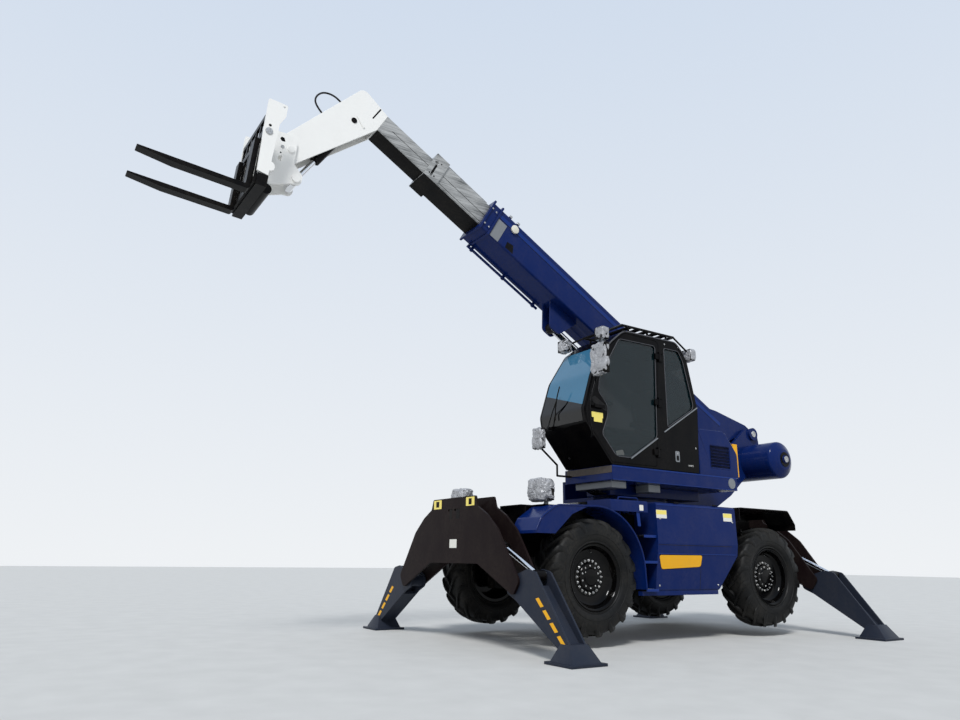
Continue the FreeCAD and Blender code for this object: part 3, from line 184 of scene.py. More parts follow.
# light grey slides: grease and soot drawn out along the boom's line
made = Finish("boomGrey", Coat_Weight=0.2, Coat_Roughness=0.1, Specular_IOR_Level=0.4)
boomTurn = (0, 0.5166, 0)
fine = made.noise(14, 8, (0.3, 6, 6), boomTurn)
soot = made.noise(3.0, 8, (0.35, 5, 5), boomTurn).above(0.52, 0.2) * made.noise(2.6, 5).above(0.42, 0.3)
made.feed(Base_Color=made.blend(soot * 0.8 + fine.above(0.55, 0.2) * 0.4, rgb(176, 177, 176), rgb(58, 60, 60)),
          Roughness=soot * 0.2 + 0.26)
finishes["boom"] = made.bumped(fine, 0.08, 0.003).material

made = Finish("chromeRod", Metallic=1.0, Base_Color=(0.82, 0.83, 0.85, 1))
finishes["chrome"] = made.feed(Roughness=made.noise(30, 4) * 0.08 + 0.08).material

made = Finish("brightZinc", Metallic=1.0)
spots = made.noise(60, 5)
made.feed(Base_Color=made.blend(spots.above(0.55, 0.3), rgb(200, 200, 200), rgb(140, 138, 130)),
          Roughness=spots * 0.25 + 0.2)
finishes["zinc"] = made.material

made = Finish("hoseRubber", Specular_IOR_Level=0.2)
fine = made.noise(90, 4)
made.feed(Base_Color=made.blend(fine.above(0.55, 0.3) * 0.4, rgb(15, 15, 16), rgb(60, 58, 54)),
          Roughness=fine * 0.2 + 0.4)
finishes["hose"] = made.bumped(fine, 0.1, 0.002).material

# bubble film: small round cells pressed on a crumpled sheet
made = Finish("bubbleFilm", Metallic=0.2, Coat_Weight=0.5, Coat_Roughness=0.12)
cells = made.node("ShaderNodeTexVoronoi", {"feature": "SMOOTH_F1"}, Vector=made.place, Scale=70.0)
folds = made.noise(16, 6)
made.feed(Base_Color=made.blend(folds, rgb(96, 97, 102), rgb(206, 206, 208)), Roughness=folds * 0.3 + 0.15)
finishes["wrap"] = made.bumped(folds * 1.4 + cells * 0.8, 0.7, 0.02).material

print("finishes made")


# Meshes worked out as arrays: a shape is a pair (points, faces), in metres from the slew centre

def gridOf(points, around=False, capped=False, ring=False):
    # points[i, j] are joined to their neighbours along i and j; around closes j on itself, ring closes i,
    # and capped shuts both ends of i
    rows, columns = points.shape[:2]
    i, j = np.meshgrid(np.arange(rows if ring else rows - 1), np.arange(columns if around else columns - 1),
                       indexing="ij")
    a, b = i * columns + j, i * columns + (j + 1) % columns
    c, d = (i + 1) % rows * columns + (j + 1) % columns, (i + 1) % rows * columns + j
    faces = np.stack([a, b, c, d], -1).reshape(-1, 4).tolist()
    if capped:
        faces += [list(range(columns))[::-1], list(range((rows - 1) * columns, rows * columns))]
    return points.reshape(-1, 3), faces


def unit(vectors):
    vectors = np.asarray(vectors, float)
    return vectors / np.maximum(np.linalg.norm(vectors, axis=-1, keepdims=True), 1e-12)


def joined(*shapes):
    # several shapes as one: each one's faces count on from the points before it
    points, faces, start = [], [], 0
    for somePoints, someFaces in shapes:
        points.append(somePoints)
        faces += [[start + k for k in face] for face in someFaces]
        start += len(somePoints)
    return np.concatenate(points), faces


def repeated(shape, turns, shifts):
    # copies of a shape: point p of copy k lies at turns[k] p + shifts[k]
    points, faces = shape
    turns, shifts = np.asarray(turns, float), np.asarray(shifts, float)
    placed = np.einsum("kab,pb->kpa", turns, points) + shifts[:, None]
    count = len(points)
    return placed.reshape(-1, 3), [[k * count + c for c in face] for k in range(len(shifts)) for face in faces]


def moved(shape, shift):
    return shape[0] + np.asarray(shift, float), shape[1]


def flipped(shape):
    # the same shape on the machine's other side, y changed to -y
    return shape[0] * (1, -1, 1), shape[1]


def lathe(profile, centre, axis, sides=32):
    # (w, r) pairs turned about an axis: centre + w axis + r (e1 cos t + e2 sin t); the profile is a closed ring
    # unless it starts and ends on the axis
    profile = np.asarray(profile, float)
    axis = unit(axis)
    e1 = unit(np.cross(axis, (0.31, 0.52, 0.8) if abs(axis[2]) < 0.9 else (1, 0, 0)))
    e2 = np.cross(axis, e1)
    t = np.linspace(0, 2 * np.pi, sides, endpoint=False)
    circle = np.cos(t)[:, None] * e1 + np.sin(t)[:, None] * e2
    points = np.asarray(centre) + profile[:, None, :1] * axis + profile[:, None, 1:] * circle[None]
    return gridOf(points, around=True, ring=profile[0, 1] > 1e-9 or profile[-1, 1] > 1e-9)


def bar(start, end, radius, sides=20, edge=0.0015):
    # a round bar with a small chamfer at each end
    start, end = np.asarray(start, float), np.asarray(end, float)
    long = np.linalg.norm(end - start)
    edge = min(edge, radius * 0.4, long * 0.3)
    return lathe([(0, 0), (0, radius - edge), (edge, radius), (long - edge, radius), (long, radius - edge),
                  (long, 0)], start, end - start, sides)


def arcs(enter, here, leave, steps):
    # a curve at each corner P from A to B: (1-t)^2 A + 2t(1-t) P + t^2 B
    t = np.linspace(0, 1, steps)[None, :, None]
    run = (1 - t) ** 2 * enter[:, None] + 2 * t * (1 - t) * here[:, None] + t ** 2 * leave[:, None]
    return run.reshape(-1, here.shape[1])


def eased(points, reach=0.03, steps=7):
    # a run with each inner corner eased, from and to points that lie reach away from it
    points = np.asarray(points, float)
    here = points[1:-1]
    enter = here + unit(points[:-2] - here) * reach
    leave = here + unit(points[2:] - here) * reach
    return np.concatenate([points[:1], arcs(enter, here, leave, steps), points[-1:]])


def swept(path, section, up=(0, 0, 1)):
    # a closed section (s, u) carried along a path: P + s side + u lift, side being across the way and up
    path, section = np.asarray(path, float), np.asarray(section, float)
    way = unit(np.gradient(path, axis=0))
    side = unit(np.cross(way, up))
    lift = np.cross(side, way)
    points = path[:, None] + section[None, :, :1] * side[:, None] + section[None, :, 1:] * lift[:, None]
    return gridOf(points, around=True, capped=True)


def tube(path, radius, sides=12, up=(0, 0, 1)):
    t = np.linspace(0, 2 * np.pi, sides, endpoint=False)
    return swept(path, radius * np.stack([np.cos(t), np.sin(t)], -1), up)


def sideTube(path, radius, sides=8):
    # a tube whose run lies along the machine's side
    return tube(path, radius, sides, (0, 1, 0))


def slab(corners, low, high, axis):
    # a flat outline carried along an axis: corners are (x, z) for y, (y, z) for x and (x, y) for z
    corners = np.asarray(corners, float)
    flat = np.stack([np.insert(corners, "xyz".index(axis), level, axis=1) for level in (low, high)])
    return gridOf(flat, around=True, capped=True)


def rectangle(a, b):
    return [(a[0], b[0]), (a[1], b[0]), (a[1], b[1]), (a[0], b[1])]


def brick(x, y, z):
    return slab(rectangle(x, y), *z, "z")


def rounded(corners, radius=0.02, steps=5):
    # a closed outline with eased corners
    corners = np.asarray(corners, float)
    before, after = np.roll(corners, 1, 0), np.roll(corners, -1, 0)
    reach = np.minimum(radius, 0.45 * np.minimum(np.linalg.norm(before - corners, axis=1),
                                                 np.linalg.norm(after - corners, axis=1)))[:, None]
    enter, leave = corners + unit(before - corners) * reach, corners + unit(after - corners) * reach
    return arcs(enter, corners, leave, steps)


def sheet(corners, low, high, ease=0.02, steps=5):
    # an outline (x, z) with eased corners, carried from y = low to y = high
    return slab(rounded(corners, ease, steps), low, high, "y")


def loopTube(corners, y, radius, ease=0.05, steps=8):
    # a round moulding along a closed outline (x, z)
    flat = rounded(corners, ease, steps)
    return sideTube(np.insert(np.concatenate([flat, flat[:1]]), 1, y, axis=1), radius)


def blockBall(count, power):
    # directions over a sphere's grid, and the rounded box |a|^n + |b|^n + |c|^n = 1 in those directions
    t, p = np.meshgrid(np.linspace(0, 2 * np.pi, 4 * count, endpoint=False),
                       np.linspace(-np.pi / 2, np.pi / 2, 2 * count))
    way = np.stack([np.cos(p) * np.cos(t), np.cos(p) * np.sin(t), np.sin(p)], -1)
    return way, way / np.sum(np.abs(way) ** power, -1, keepdims=True) ** (1 / power)


def ballMesh(points):
    # a sphere's grid of points as a closed shape, each pole one point
    flat, faces = gridOf(points[1:-1], around=True)
    columns, last = points.shape[1], len(flat)
    foot = last - columns
    faces += [[(j + 1) % columns, j, last] for j in range(columns)]
    faces += [[foot + j, foot + (j + 1) % columns, last + 1] for j in range(columns)]
    return np.concatenate([flat, [points[0].mean(0), points[-1].mean(0)]]), faces


def bolt(radius, height):
    # a hexagon head over a washer, its axis along +z
    t = np.linspace(0, 2 * np.pi, 6, endpoint=False)
    hexagon = np.stack([np.cos(t), np.sin(t)], -1) * radius
    head = [np.insert(hexagon * s, 2, h, axis=1) for s, h in
            ((1, height * 0.25), (1, height * 0.9), (0.86, height), (0.001, height))]
    washer = lathe([(0, 0), (0, radius * 1.3), (height * 0.25, radius * 1.3), (height * 0.25, 0)], (0, 0, 0),
                   (0, 0, 1), 12)
    return joined(gridOf(np.stack(head), around=True), washer)


def facing(axes):
    # turns that carry +z onto each axis, as matrices with the columns side, lift, axis
    axes = unit(np.atleast_2d(np.asarray(axes, float)))
    other = np.where(np.abs(axes[:, 2:]) < 0.9, (0, 0, 1), (1, 0, 0))
    side = unit(np.cross(other, axes))
    return np.stack([side, np.cross(axes, side), axes], -1)


def bolts(places, axis, radius=0.014, height=0.012):
    places = np.atleast_2d(np.asarray(places, float))
    return repeated(bolt(radius, height), np.repeat(facing(axis), len(places), 0), places)


# the piece takes the finish as its one material, rounded edges where a bevel is given, smooth shading and its body
def finishMesh(piece, finish, body, bevel, replaces, angle=30):
    # the finish's own slot is taken where none is named
    piece.data.materials.clear()
    piece.data.materials.append(finishes[finish])
    if bevel:
        edge = piece.modifiers.new("edges", "BEVEL")
        edge.width, edge.segments, edge.limit_method, edge.angle_limit = bevel, 2, "ANGLE", np.radians(30)
        edge.use_clamp_overlap, edge.miter_outer = True, "MITER_ARC"
    bpy.context.scene.collection.objects.link(piece)
    bpy.context.view_layer.objects.active = piece
    piece.data.shade_smooth()
    piece.data.set_sharp_from_angle(angle=np.radians(angle))
    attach(piece, body)
    if replaces:
        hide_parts(*replaces)
    return piece


def addPiece(name, shape, finish, body, bevel=0.0, replaces=(), angle=30, weld=True):
    # one piece from a shape or from a list of them
    points, faces = joined(*shape) if isinstance(shape, list) else shape
    mesh = bpy.data.meshes.new(name)
    mesh.from_pydata((points + (slewX, 0, 0)).astype(np.float32), [], faces)
    work = bmesh.new()
    work.from_mesh(mesh)
    if weld:
        bmesh.ops.remove_doubles(work, verts=work.verts, dist=1e-5)
    bmesh.ops.recalc_face_normals(work, faces=work.faces)
    work.to_mesh(mesh)
    work.free()
    return finishMesh(bpy.data.objects.new(name, mesh), finish, body, bevel, replaces, angle)


def softened(node, finish, width=0.004, keep=None, end=None):
    # a node's own shape, merged and with its flat faces made whole, and its edges rounded; keep picks the
    # islands that stay, from the lowest and highest corner of each, and end cuts the shape off ahead of an x
    body = next(name for name, nodes in frame["record"]["behaviour"]["bodies"].items() if node in nodes)
    mesh = frame["nodes"][node].data.copy()
    work = bmesh.new()
    work.from_mesh(mesh)
    bmesh.ops.remove_doubles(work, verts=work.verts, dist=2e-5)
    if keep:
        work.verts.ensure_lookup_table()
        seen, gone = set(), []
        for start in work.verts:
            if start in seen:
                continue
            island, edge = [start], [start]
            seen.add(start)
            while edge:
                near = {e.other_vert(v) for v in edge for e in v.link_edges} - seen
                seen |= near
                edge = list(near)
                island += edge
            places = np.array([v.co for v in island]) - (slewX, 0, 0)
            if not keep(places.min(0), places.max(0)):
                gone += island
        bmesh.ops.delete(work, geom=gone, context="VERTS")
    if end is not None:
        cut = bmesh.ops.bisect_plane(work, geom=work.verts[:] + work.edges[:] + work.faces[:],
                                     plane_co=(slewX + end, 0, 0), plane_no=(1, 0, 0), clear_outer=True)
        bmesh.ops.holes_fill(work, edges=[e for e in cut["geom_cut"] if isinstance(e, bmesh.types.BMEdge)])
    bmesh.ops.dissolve_limit(work, angle_limit=np.radians(1.2), verts=work.verts, edges=work.edges)
    work.to_mesh(mesh)
    work.free()
    return finishMesh(bpy.data.objects.new(node + "_shape", mesh), finish, body, width, [node])


# Camera, floor and light

shot = {"place": (7.147, 7.365, 0.904), "heading": -123.08, "rise": 15.33, "roll": 0.749, "lens": 27.31}
heading, rise, roll = (np.radians(shot[key]) for key in ("heading", "rise", "roll"))
ahead = np.array([np.cos(rise) * np.cos(heading), np.cos(rise) * np.sin(heading), np.sin(rise)])
level = np.array([np.sin(heading), -np.cos(heading), 0])
rightward = np.cos(roll) * level + np.sin(roll) * np.cross(level, ahead)
upward = np.cross(rightward, ahead)
eye = bpy.data.objects.new("camera", bpy.data.cameras.new("camera"))
eye.data.lens, eye.data.sensor_width, eye.data.clip_end = shot["lens"], 36.0, 300.0
pose = np.eye(4)
pose[:3] = np.stack([rightward, upward, -ahead, np.array(shot["place"]) + (slewX, 0, 0)], -1)
eye.matrix_world = Matrix(pose.tolist())
bpy.context.scene.collection.objects.link(eye)
bpy.context.scene.camera = eye
bpy.context.scene.view_settings.view_transform = "Standard"

stagePlan = {"floorReach": 60.0, "floorColour": (206, 205, 201), "skyLow": (238, 241, 244), "skyHigh": (190, 208, 232),
             "fill": 0.7, "sun": 2.3, "sunWay": (-0.45, -0.5, -0.74)}
reach = stagePlan["floorReach"]
floorMesh = bpy.data.meshes.new("floor")
floorMesh.from_pydata([(-reach, -reach, -0.001), (reach, -reach, -0.001), (reach, reach, -0.001),
                       (-reach, reach, -0.001)], [], [(0, 1, 2, 3)])
floor = bpy.data.objects.new("floor", floorMesh)
bpy.context.scene.collection.objects.link(floor)
ground = Finish("paleFloor", Specular_IOR_Level=0.2)
grain = ground.noise(3.0, 10)
ground.feed(Base_Color=ground.blend(grain, rgb(196, 195, 191), rgb(214, 213, 209)), Roughness=grain * 0.2 + 0.7)
floorMesh.materials.append(ground.material)

world = bpy.data.worlds.new("studio")
bpy.context.scene.world = world
world.use_nodes = True
sky = Nodes(world.node_tree, "Background", "Generated")
tone = sky.blend(sky.height(), rgb(*stagePlan["skyLow"]), rgb(*stagePlan["skyHigh"]))
# what the camera, the reflections and the panes show of the sky is brighter than the light it gives
seen = sky.node("ShaderNodeLightPath", out="Is Camera Ray")
for kind in ("Is Glossy Ray", "Is Transmission Ray"):
    seen = seen.do("MAXIMUM", sky.node("ShaderNodeLightPath", out=kind))
sky.feed(Color=tone, Strength=sky.node("ShaderNodeMapRange", Value=seen, To_Min=stagePlan["fill"], To_Max=1.0))

sun = bpy.data.objects.new("sun", bpy.data.lights.new("sun", "SUN"))
sun.data.energy, sun.data.angle = stagePlan["sun"], np.radians(14)
sun.rotation_euler = Vector(stagePlan["sunWay"]).to_track_quat("-Z", "Y").to_euler()
bpy.context.scene.collection.objects.link(sun)
print("camera, floor and light set")


# The machine's plates, boxes and castings: the CAD's own shapes with eased edges and a finish each

sides = (("left", 1), ("right", -1))
places = [(end, side, sign) for end in ("front", "rear") for side, sign in sides]
boomFoot, boomTilt = (-2.5, 2.83), np.radians(29.6)  # the boom's pivot (x, z) and its angle at rest
plain = {
    "chassis_frame": ("black", 0.003), "front_stabiliser_frame": ("brown", 0.003),
    "rear_stabiliser_frame": ("brown", 0.003), "front_axle": ("cast", 0.004), "rear_axle": ("cast", 0.004),
    "front_fenders": ("navy", 0.004), "rear_fenders": ("black", 0.004), "left_tank": ("navy", 0.008),
    "right_hood": ("navy", 0.006), "engine_block": ("cast", 0.006), "steps": ("black", 0.002),
    "counterweight": ("navy", 0.0), "cooler_fan": ("yellow", 0.003), "cab_shell": ("cabBlack", 0.006),
    "cab_door": ("cabBlack", 0.005), "head_lamps": ("black", 0.003), "cab_fittings": ("black", 0.0),
    "boom_base": ("navy", 0.003), "boom_head": ("white", 0.003), "lift_barrel": ("black", 0.002),
    "lift_rod": ("chrome", 0.002), "tilt_barrel": ("black", 0.002), "tilt_rod": ("chrome", 0.002),
    "fork_carriage": ("white", 0.003), "fork_frame": ("black", 0.003), "forks": ("black", 0.003),
    "door_glass": ("glass", 0.0),
}
onEachCorner = {"leg_": ("web", 0.003), "leg_barrel_": ("black", 0.002), "leg_rod_": ("chrome", 0.002),
                "knuckle_": ("cast", 0.003)}
plain.update({start + end + "_" + side: look for end, side, sign in places for start, look in onEachCorner.items()})
for node, (finish, width) in plain.items():
    softened(node, finish, width)
# the beam's front end and the right halves are drawn shorter than the solids, as the photograph shows them
beamEnd = 0.8
softened("turret_frame", "navy", 0.003, end=beamEnd)
for node, width in (("cowls", 0.012), ("platform", 0.006)):
    softened(node, "navy", width, keep=lambda low, high: low[1] > 0)
# of the cab's panes the side ones and the roof's stay: one pane covers the front
softened("cab_glass", "glass", 0.0, keep=lambda low, high: high[0] < 1.0 or high[0] - low[0] > 1.0)
boomDown = Vector((np.sin(boomTilt), 0, -np.cos(boomTilt)))
for node in ("boom_mid", "boom_inner"):
    section = softened(node, "boom", 0.003)
    # faces turned down take the second, near black finish: painted shade under the boom sections
    section.data.materials.append(finishes["under"])
    for face in section.data.polygons:
        face.material_index = int(face.normal.dot(boomDown) > 0.9)
print("plates and castings done")


# Wheels

wheelPlan = {"hubZ": 0.736, "wheelY": 0.965, "axleX": {"front": 1.545, "rear": -1.505}, "lugs": 18,
             "studs": 20, "studCircle": 0.175, "innerStuds": 10, "innerCircle": 0.118}
tyreSection = np.array([  # outward from the tyre's middle, radius
    (0.0, 0.6), (0.06, 0.6), (0.11, 0.597), (0.145, 0.589), (0.168, 0.575), (0.182, 0.553), (0.19, 0.525),
    (0.1955, 0.495), (0.197, 0.465), (0.195, 0.438), (0.189, 0.415), (0.179, 0.396), (0.1705, 0.385),
    (0.1745, 0.379), (0.1745, 0.371), (0.1655, 0.364), (0.1545, 0.359), (0.1535, 0.345), (0.1535, 0.333)])
rimSection = [(-0.169, 0.318), (-0.169, 0.352), (-0.165, 0.357), (-0.157, 0.357), (-0.155, 0.35), (-0.15, 0.333),
              (-0.1, 0.331), (-0.07, 0.32), (0.06, 0.32), (0.09, 0.331), (0.15, 0.333), (0.155, 0.35),
              (0.157, 0.357), (0.165, 0.357), (0.169, 0.352), (0.168, 0.345), (0.164, 0.336), (0.152, 0.326),
              (0.1, 0.322), (0.075, 0.305), (0.058, 0.285), (0.052, 0.268), (0.0515, 0.204), (0.035, 0.204),
              (0.036, 0.262), (0.042, 0.282), (0.055, 0.297), (0.055, 0.306), (-0.07, 0.308), (-0.1, 0.318)]
hubSection = [(0.075, 0.0), (0.075, 0.0603), (-0.02, 0.0603), (-0.02, 0.172), (0.034, 0.172), (0.034, 0.205),
              (0.0545, 0.205), (0.0565, 0.202), (0.0565, 0.158), (0.062, 0.151), (0.074, 0.148), (0.08, 0.142),
              (0.082, 0.098), (0.088, 0.09), (0.0935, 0.086), (0.095, 0.07), (0.095, 0.0)]


def tyreLug():
    # a lug runs from the tread's middle out over the shoulder: across w(s), round the tyre phi(s), with a
    # section of half width b(s) whose top keeps to the lug circle and falls to the side wall at s = 1
    s = np.linspace(0, 1, 12)
    w = np.interp(s, (0, 0.7, 0.84, 1), (-0.028, 0.158, 0.188, 0.1985))
    phi = np.radians(np.interp(s, (0, 0.1, 0.3, 0.56, 0.7, 0.84, 1),
                               (3.0, 0.0, -4.5, -13.0, -18.5, -21.5, -22.0)))
    base = np.interp(s, (0, 0.7, 0.84, 0.93, 1), (0.594, 0.575, 0.548, 0.52, 0.48))
    top = np.interp(s, (0, 0.55, 0.7, 0.8, 0.92, 1), (0.63, 0.629, 0.621, 0.603, 0.548, 0.487))
    wide = np.interp(s, (0, 0.1, 0.5, 0.75, 1), (0.014, 0.02, 0.025, 0.032, 0.027))
    inward = np.interp(s, (0, 0.75, 1), (0, 0, 0.014))
    rows = []
    for across, up in [(-1.3, 0), (-1.0, 0.84), (-0.8, 1), (0.8, 1), (1.0, 0.84), (1.3, 0)]:
        r = base + up * (top - base)
        turn = phi + across * wide / 0.6
        rows.append(np.stack([r * np.sin(turn), w - (1 - up) * inward, r * np.cos(turn)], -1))
    return gridOf(np.stack(rows, 1), around=True, capped=True)


def spins(count, sign=1, ahead=0.0):
    # turns about the wheel's axis, one every 1 / count of a circle; sign -1 also mirrors across the wheel
    a = (np.arange(count) + ahead) * 2 * np.pi / count
    zero, one = np.zeros_like(a), np.ones_like(a)
    return np.stack([np.cos(a), zero, np.sin(a), zero, sign * one, zero, -np.sin(a), zero, np.cos(a)],
                    -1).reshape(-1, 3, 3)


def tyreShape(plan):
    # the carcass is its section turned about the axle, its inside wall following 16 mm behind the outside
    wall = tyreSection[-1:2:-1]
    inside = np.stack([np.clip(wall[:, 0] - 0.016, 0, 0.176),
                       np.clip(wall[:, 1] - 0.002, 0.333, 0.565)], -1)[1:]
    outline = np.concatenate([tyreSection[:0:-1] * (-1, 1), tyreSection, inside, inside[::-1] * (-1, 1)])
    lug, still = tyreLug(), np.zeros((plan["lugs"], 3))
    ribs = [lathe([(sign * 0.195, 0.449), (sign * 0.2, 0.452), (sign * 0.2, 0.457), (sign * 0.195, 0.46)],
                  (0, 0, 0), (0, 1, 0), 96) for sign in (1, -1)]
    return joined(lathe(outline, (0, 0, 0), (0, 1, 0), 96), repeated(lug, spins(plan["lugs"]), still),
                  repeated(lug, spins(plan["lugs"], -1, 0.5), still), *ribs)


def studRing(count, circle, depth, radius, height):
    # studs with their nuts, standing outward (+y) on a circle
    stud = joined(bolt(radius, height), bar((0, 0, 0), (0, 0, height * 1.7), radius * 0.55, 10))
    stud = (stud[0] @ facing((0, 1, 0))[0].T + (0, depth, circle), stud[1])
    return repeated(stud, spins(count), np.zeros((count, 3)))


tyre = tyreShape(wheelPlan)
rimAndHub = joined(lathe(rimSection, (0, 0, 0), (0, 1, 0), 96), lathe(hubSection, (0, 0, 0), (0, 1, 0), 64))
studs = joined(studRing(wheelPlan["studs"], wheelPlan["studCircle"], 0.0563, 0.011, 0.012),
               studRing(wheelPlan["innerStuds"], wheelPlan["innerCircle"], 0.0812, 0.008, 0.006))
valve = tube(eased([(0, 0.05, 0.29), (0, 0.075, 0.282), (0, 0.105, 0.262)], 0.01), 0.004, 8, (1, 0, 0))
for end, side, sign in places:
    place, at = end + "_" + side, (wheelPlan["axleX"][end], sign * wheelPlan["wheelY"], wheelPlan["hubZ"])
    body = "wheel_" + place
    onSide = (lambda shape: shape) if sign > 0 else flipped
    addPiece("tyre_shape_" + place, moved(onSide(tyre), at), "rubber", body, replaces=["tyre_" + place], angle=35,
             weld=False)
    addPiece("rim_shape_" + place, moved(onSide(rimAndHub), at), "rim", body, replaces=["rim_" + place])
    addPiece("studs_" + place, moved(onSide(studs), at), "zinc", body)
    addPiece("valve_" + place, moved(onSide(valve), at), "zinc", body)
print("wheels done")


# Bare plates and stickers: an outline in two of the panel's directions, laid on the panel

def decal(corners, level, axis, out=1, thick=0.0014, ease=0.006):
    return slab(rounded(corners, ease, 4), level - out * 0.001, level + out * thick, axis)


def boxFace(z):
    # how far out the side box's skin is at a height: 1.112 at its foot, 1.187 at its ridge, 1.175 at its top
    return np.interp(z, (0.58, 1.12, 1.591), (1.112, 1.187, 1.175))


def onBox(corners, out=0.0014, sunk=0.001, ease=0.006):
    # an outline (x, z) laid on the side box's skin and given a thickness across it
    flat = rounded(corners, ease, 4)
    return gridOf(np.stack([np.stack([flat[:, 0], boxFace(flat[:, 1]) + level, flat[:, 1]], -1)
                            for level in (-sunk, out)]), around=True, capped=True)


labelPlan = {"plateX": 2.692, "plateLabels": [(0.276, 0.45, 1.487, 1.583), (-0.45, -0.27, 1.48, 1.583)],
             "bandZ": (1.5, 1.568), "bandIn": 0.055, "platePanel": ((-0.066, 0.087), (1.03, 1.125)),
             "plateSlots": [(-0.083, -0.024), (0.065, 0.141)], "slotZ": (1.355, 1.462), "lockerY": 1.15,
             "doorY": 1.15, "modelPlate": [(0.588, 0.988), (-0.165, 0.993), (-0.143, 0.85), (0.54, 0.818)]}
plateX = labelPlan["plateX"]
labels, bands = [], []
for a, b, low, high in labelPlan["plateLabels"]:
    labels.append(decal(rectangle((a, b), (low, high)), plateX, "x"))
    inner = rectangle((a + labelPlan["bandIn"], b - labelPlan["bandIn"]), labelPlan["bandZ"])
    bands.append(decal(inner, plateX + 0.0014, "x", thick=0.0006))
addPiece("plate_labels", labels, "label", "chassis")
addPiece("plate_label_bands", bands, "brown", "chassis")
addPiece("plate_panel", decal(rectangle(*labelPlan["platePanel"]), plateX, "x"), "labelWhite", "chassis")
# dark patches where the plate's slots are: painted shade
slots = [brick((plateX - 0.001, plateX + 0.0008), y, labelPlan["slotZ"]) for y in labelPlan["plateSlots"]]
addPiece("plate_slots", slots, "under", "chassis")
addPiece("box_labels", joined(onBox(rectangle((0.437, 0.61), (1.405, 1.5))),
                              onBox(rectangle((-0.752, -0.585), (1.41, 1.508))),
                              decal(rectangle((0.79, 0.852), (1.48, 1.545)), labelPlan["lockerY"], "y")),
         "labelWhite", "chassis")
addPiece("box_label_tops", joined(onBox(rectangle((0.44, 0.607), (1.448, 1.497)), 0.002),
                                  onBox(rectangle((-0.749, -0.588), (1.456, 1.505)), 0.002)), "label", "chassis")
plate = np.array(labelPlan["modelPlate"])
raised = plate.mean(0) + (plate - plate.mean(0)) * (0.982, 0.93)
addPiece("model_plate_rim", onBox(plate, 0.0012, ease=0.035), "black", "chassis")
addPiece("model_plate", onBox(raised, 0.0024, ease=0.032), "yellow", "chassis", bevel=0.0006)
doorLabels = [decal(rectangle((1.378, 1.552), (2.508, 2.572)), labelPlan["doorY"], "y"),
              decal(rectangle((1.392, 1.52), (2.458, 2.512)), labelPlan["doorY"], "y", thick=0.001)]
addPiece("door_label", doorLabels, "label", "door")
# slanted dashes down the outward face of each leg
dashPlan = {"first": (1.568, 0.517), "last": (1.884, 0.2), "count": 4, "long": 0.072, "wide": 0.021, "lean": 0.6,
            "faceX": {"front": 2.657, "rear": -2.54}}
way = unit(np.subtract(dashPlan["last"], dashPlan["first"]))
across = np.array([-way[1], way[0]])
dash = [way * (s * dashPlan["long"] + c * dashPlan["lean"] * dashPlan["wide"]) + across * c * dashPlan["wide"]
        for s, c in ((-0.75, -1), (0.75, -1), (0.75, 1), (-0.75, 1))]
middles = np.linspace(dashPlan["first"], dashPlan["last"], dashPlan["count"])
for end, side, sign in places:
    faceX, out = dashPlan["faceX"][end], 1 if end == "front" else -1
    dashes = joined(*(decal([p * (sign, 1) for p in np.array(dash) + middle], faceX, "x", out, ease=0.004)
                      for middle in middles))
    addPiece("leg_dashes_" + end + "_" + side, dashes, "yellow", "leg_" + end + "_" + side)
print("labels done")


# Side box, steps and sill

boxPlan = {"creaseZ": 1.1, "ledgeZ": 1.0, "topZ": (1.556, 1.566), "seamX": -0.145, "x": (-0.805, 0.6),
           "treadX": (0.611, 0.812), "treadZ": (0.58, 0.89, 1.18), "studX": (0.635, 0.8), "studY": (0.86, 1.15),
           "hanger": [(0.826, 1.3), (0.872, 1.3), (0.89, 1.461), (0.842, 1.461)], "hingeX": (-0.45, 0.25)}
x0, x1 = boxPlan["x"]
crease, ledge, seam = ((boxPlan[key] - half, boxPlan[key] + half)
                       for key, half in (("creaseZ", 0.003), ("ledgeZ", 0.006), ("seamX", 0.003)))
addPiece("box_seams", joined(onBox(rectangle((x0 + 0.1, x1), crease), 0.0008, ease=0.001),
                             onBox(rectangle(seam, (0.585, boxPlan["ledgeZ"] - 0.004)), 0.0008, ease=0.001)),
         "cast", "chassis")
# the ledge and the top fold take the lighter navy: painted highlight
addPiece("box_ledge", onBox(rectangle((x0 + 0.03, x1 - 0.001), ledge), 0.005, ease=0.003), "navyEdge", "chassis",
         bevel=0.002)
addPiece("box_top_fold", onBox(rectangle((x0 + 0.03, x1 - 0.002), boxPlan["topZ"]), 0.004, ease=0.003), "navyEdge",
         "chassis", bevel=0.0015)
treads = [slab(rectangle(boxPlan["treadX"], (z - 0.004, z + 0.026)), 1.1618, 1.1655, "y") for z in boxPlan["treadZ"]]
treadStuds = [bar((x, y, z + 0.0222), (x, y, z + 0.0245), 0.011, 14, 0.0008) for z in boxPlan["treadZ"]
              for x in np.arange(*boxPlan["studX"], 0.035) for y in np.arange(*boxPlan["studY"], 0.04)]
# the tread edges and the step hanger take the lighter navy: painted highlight
addPiece("tread_edges", treads, "navyEdge", "chassis", bevel=0.002)
addPiece("tread_studs", treadStuds, "steel", "chassis")
addPiece("step_hanger", sheet(boxPlan["hanger"], 1.13, 1.138, 0.01), "navyEdge", "chassis", bevel=0.002)
boltPlaces = [(x0 + 0.05, 1.4), (x1 - 0.05, 1.4), (x0 + 0.33, 0.64), (x1 - 0.05, 0.64)]
addPiece("box_bolts", bolts([(x, boxFace(z), z) for x, z in boltPlaces], (0, 1, 0), 0.009, 0.006), "zinc", "chassis")
addPiece("box_hinges", joined(*(bar((x - 0.04, 1.168, 1.597), (x + 0.04, 1.168, 1.597), 0.008)
                                for x in boxPlan["hingeX"])), "black", "chassis")

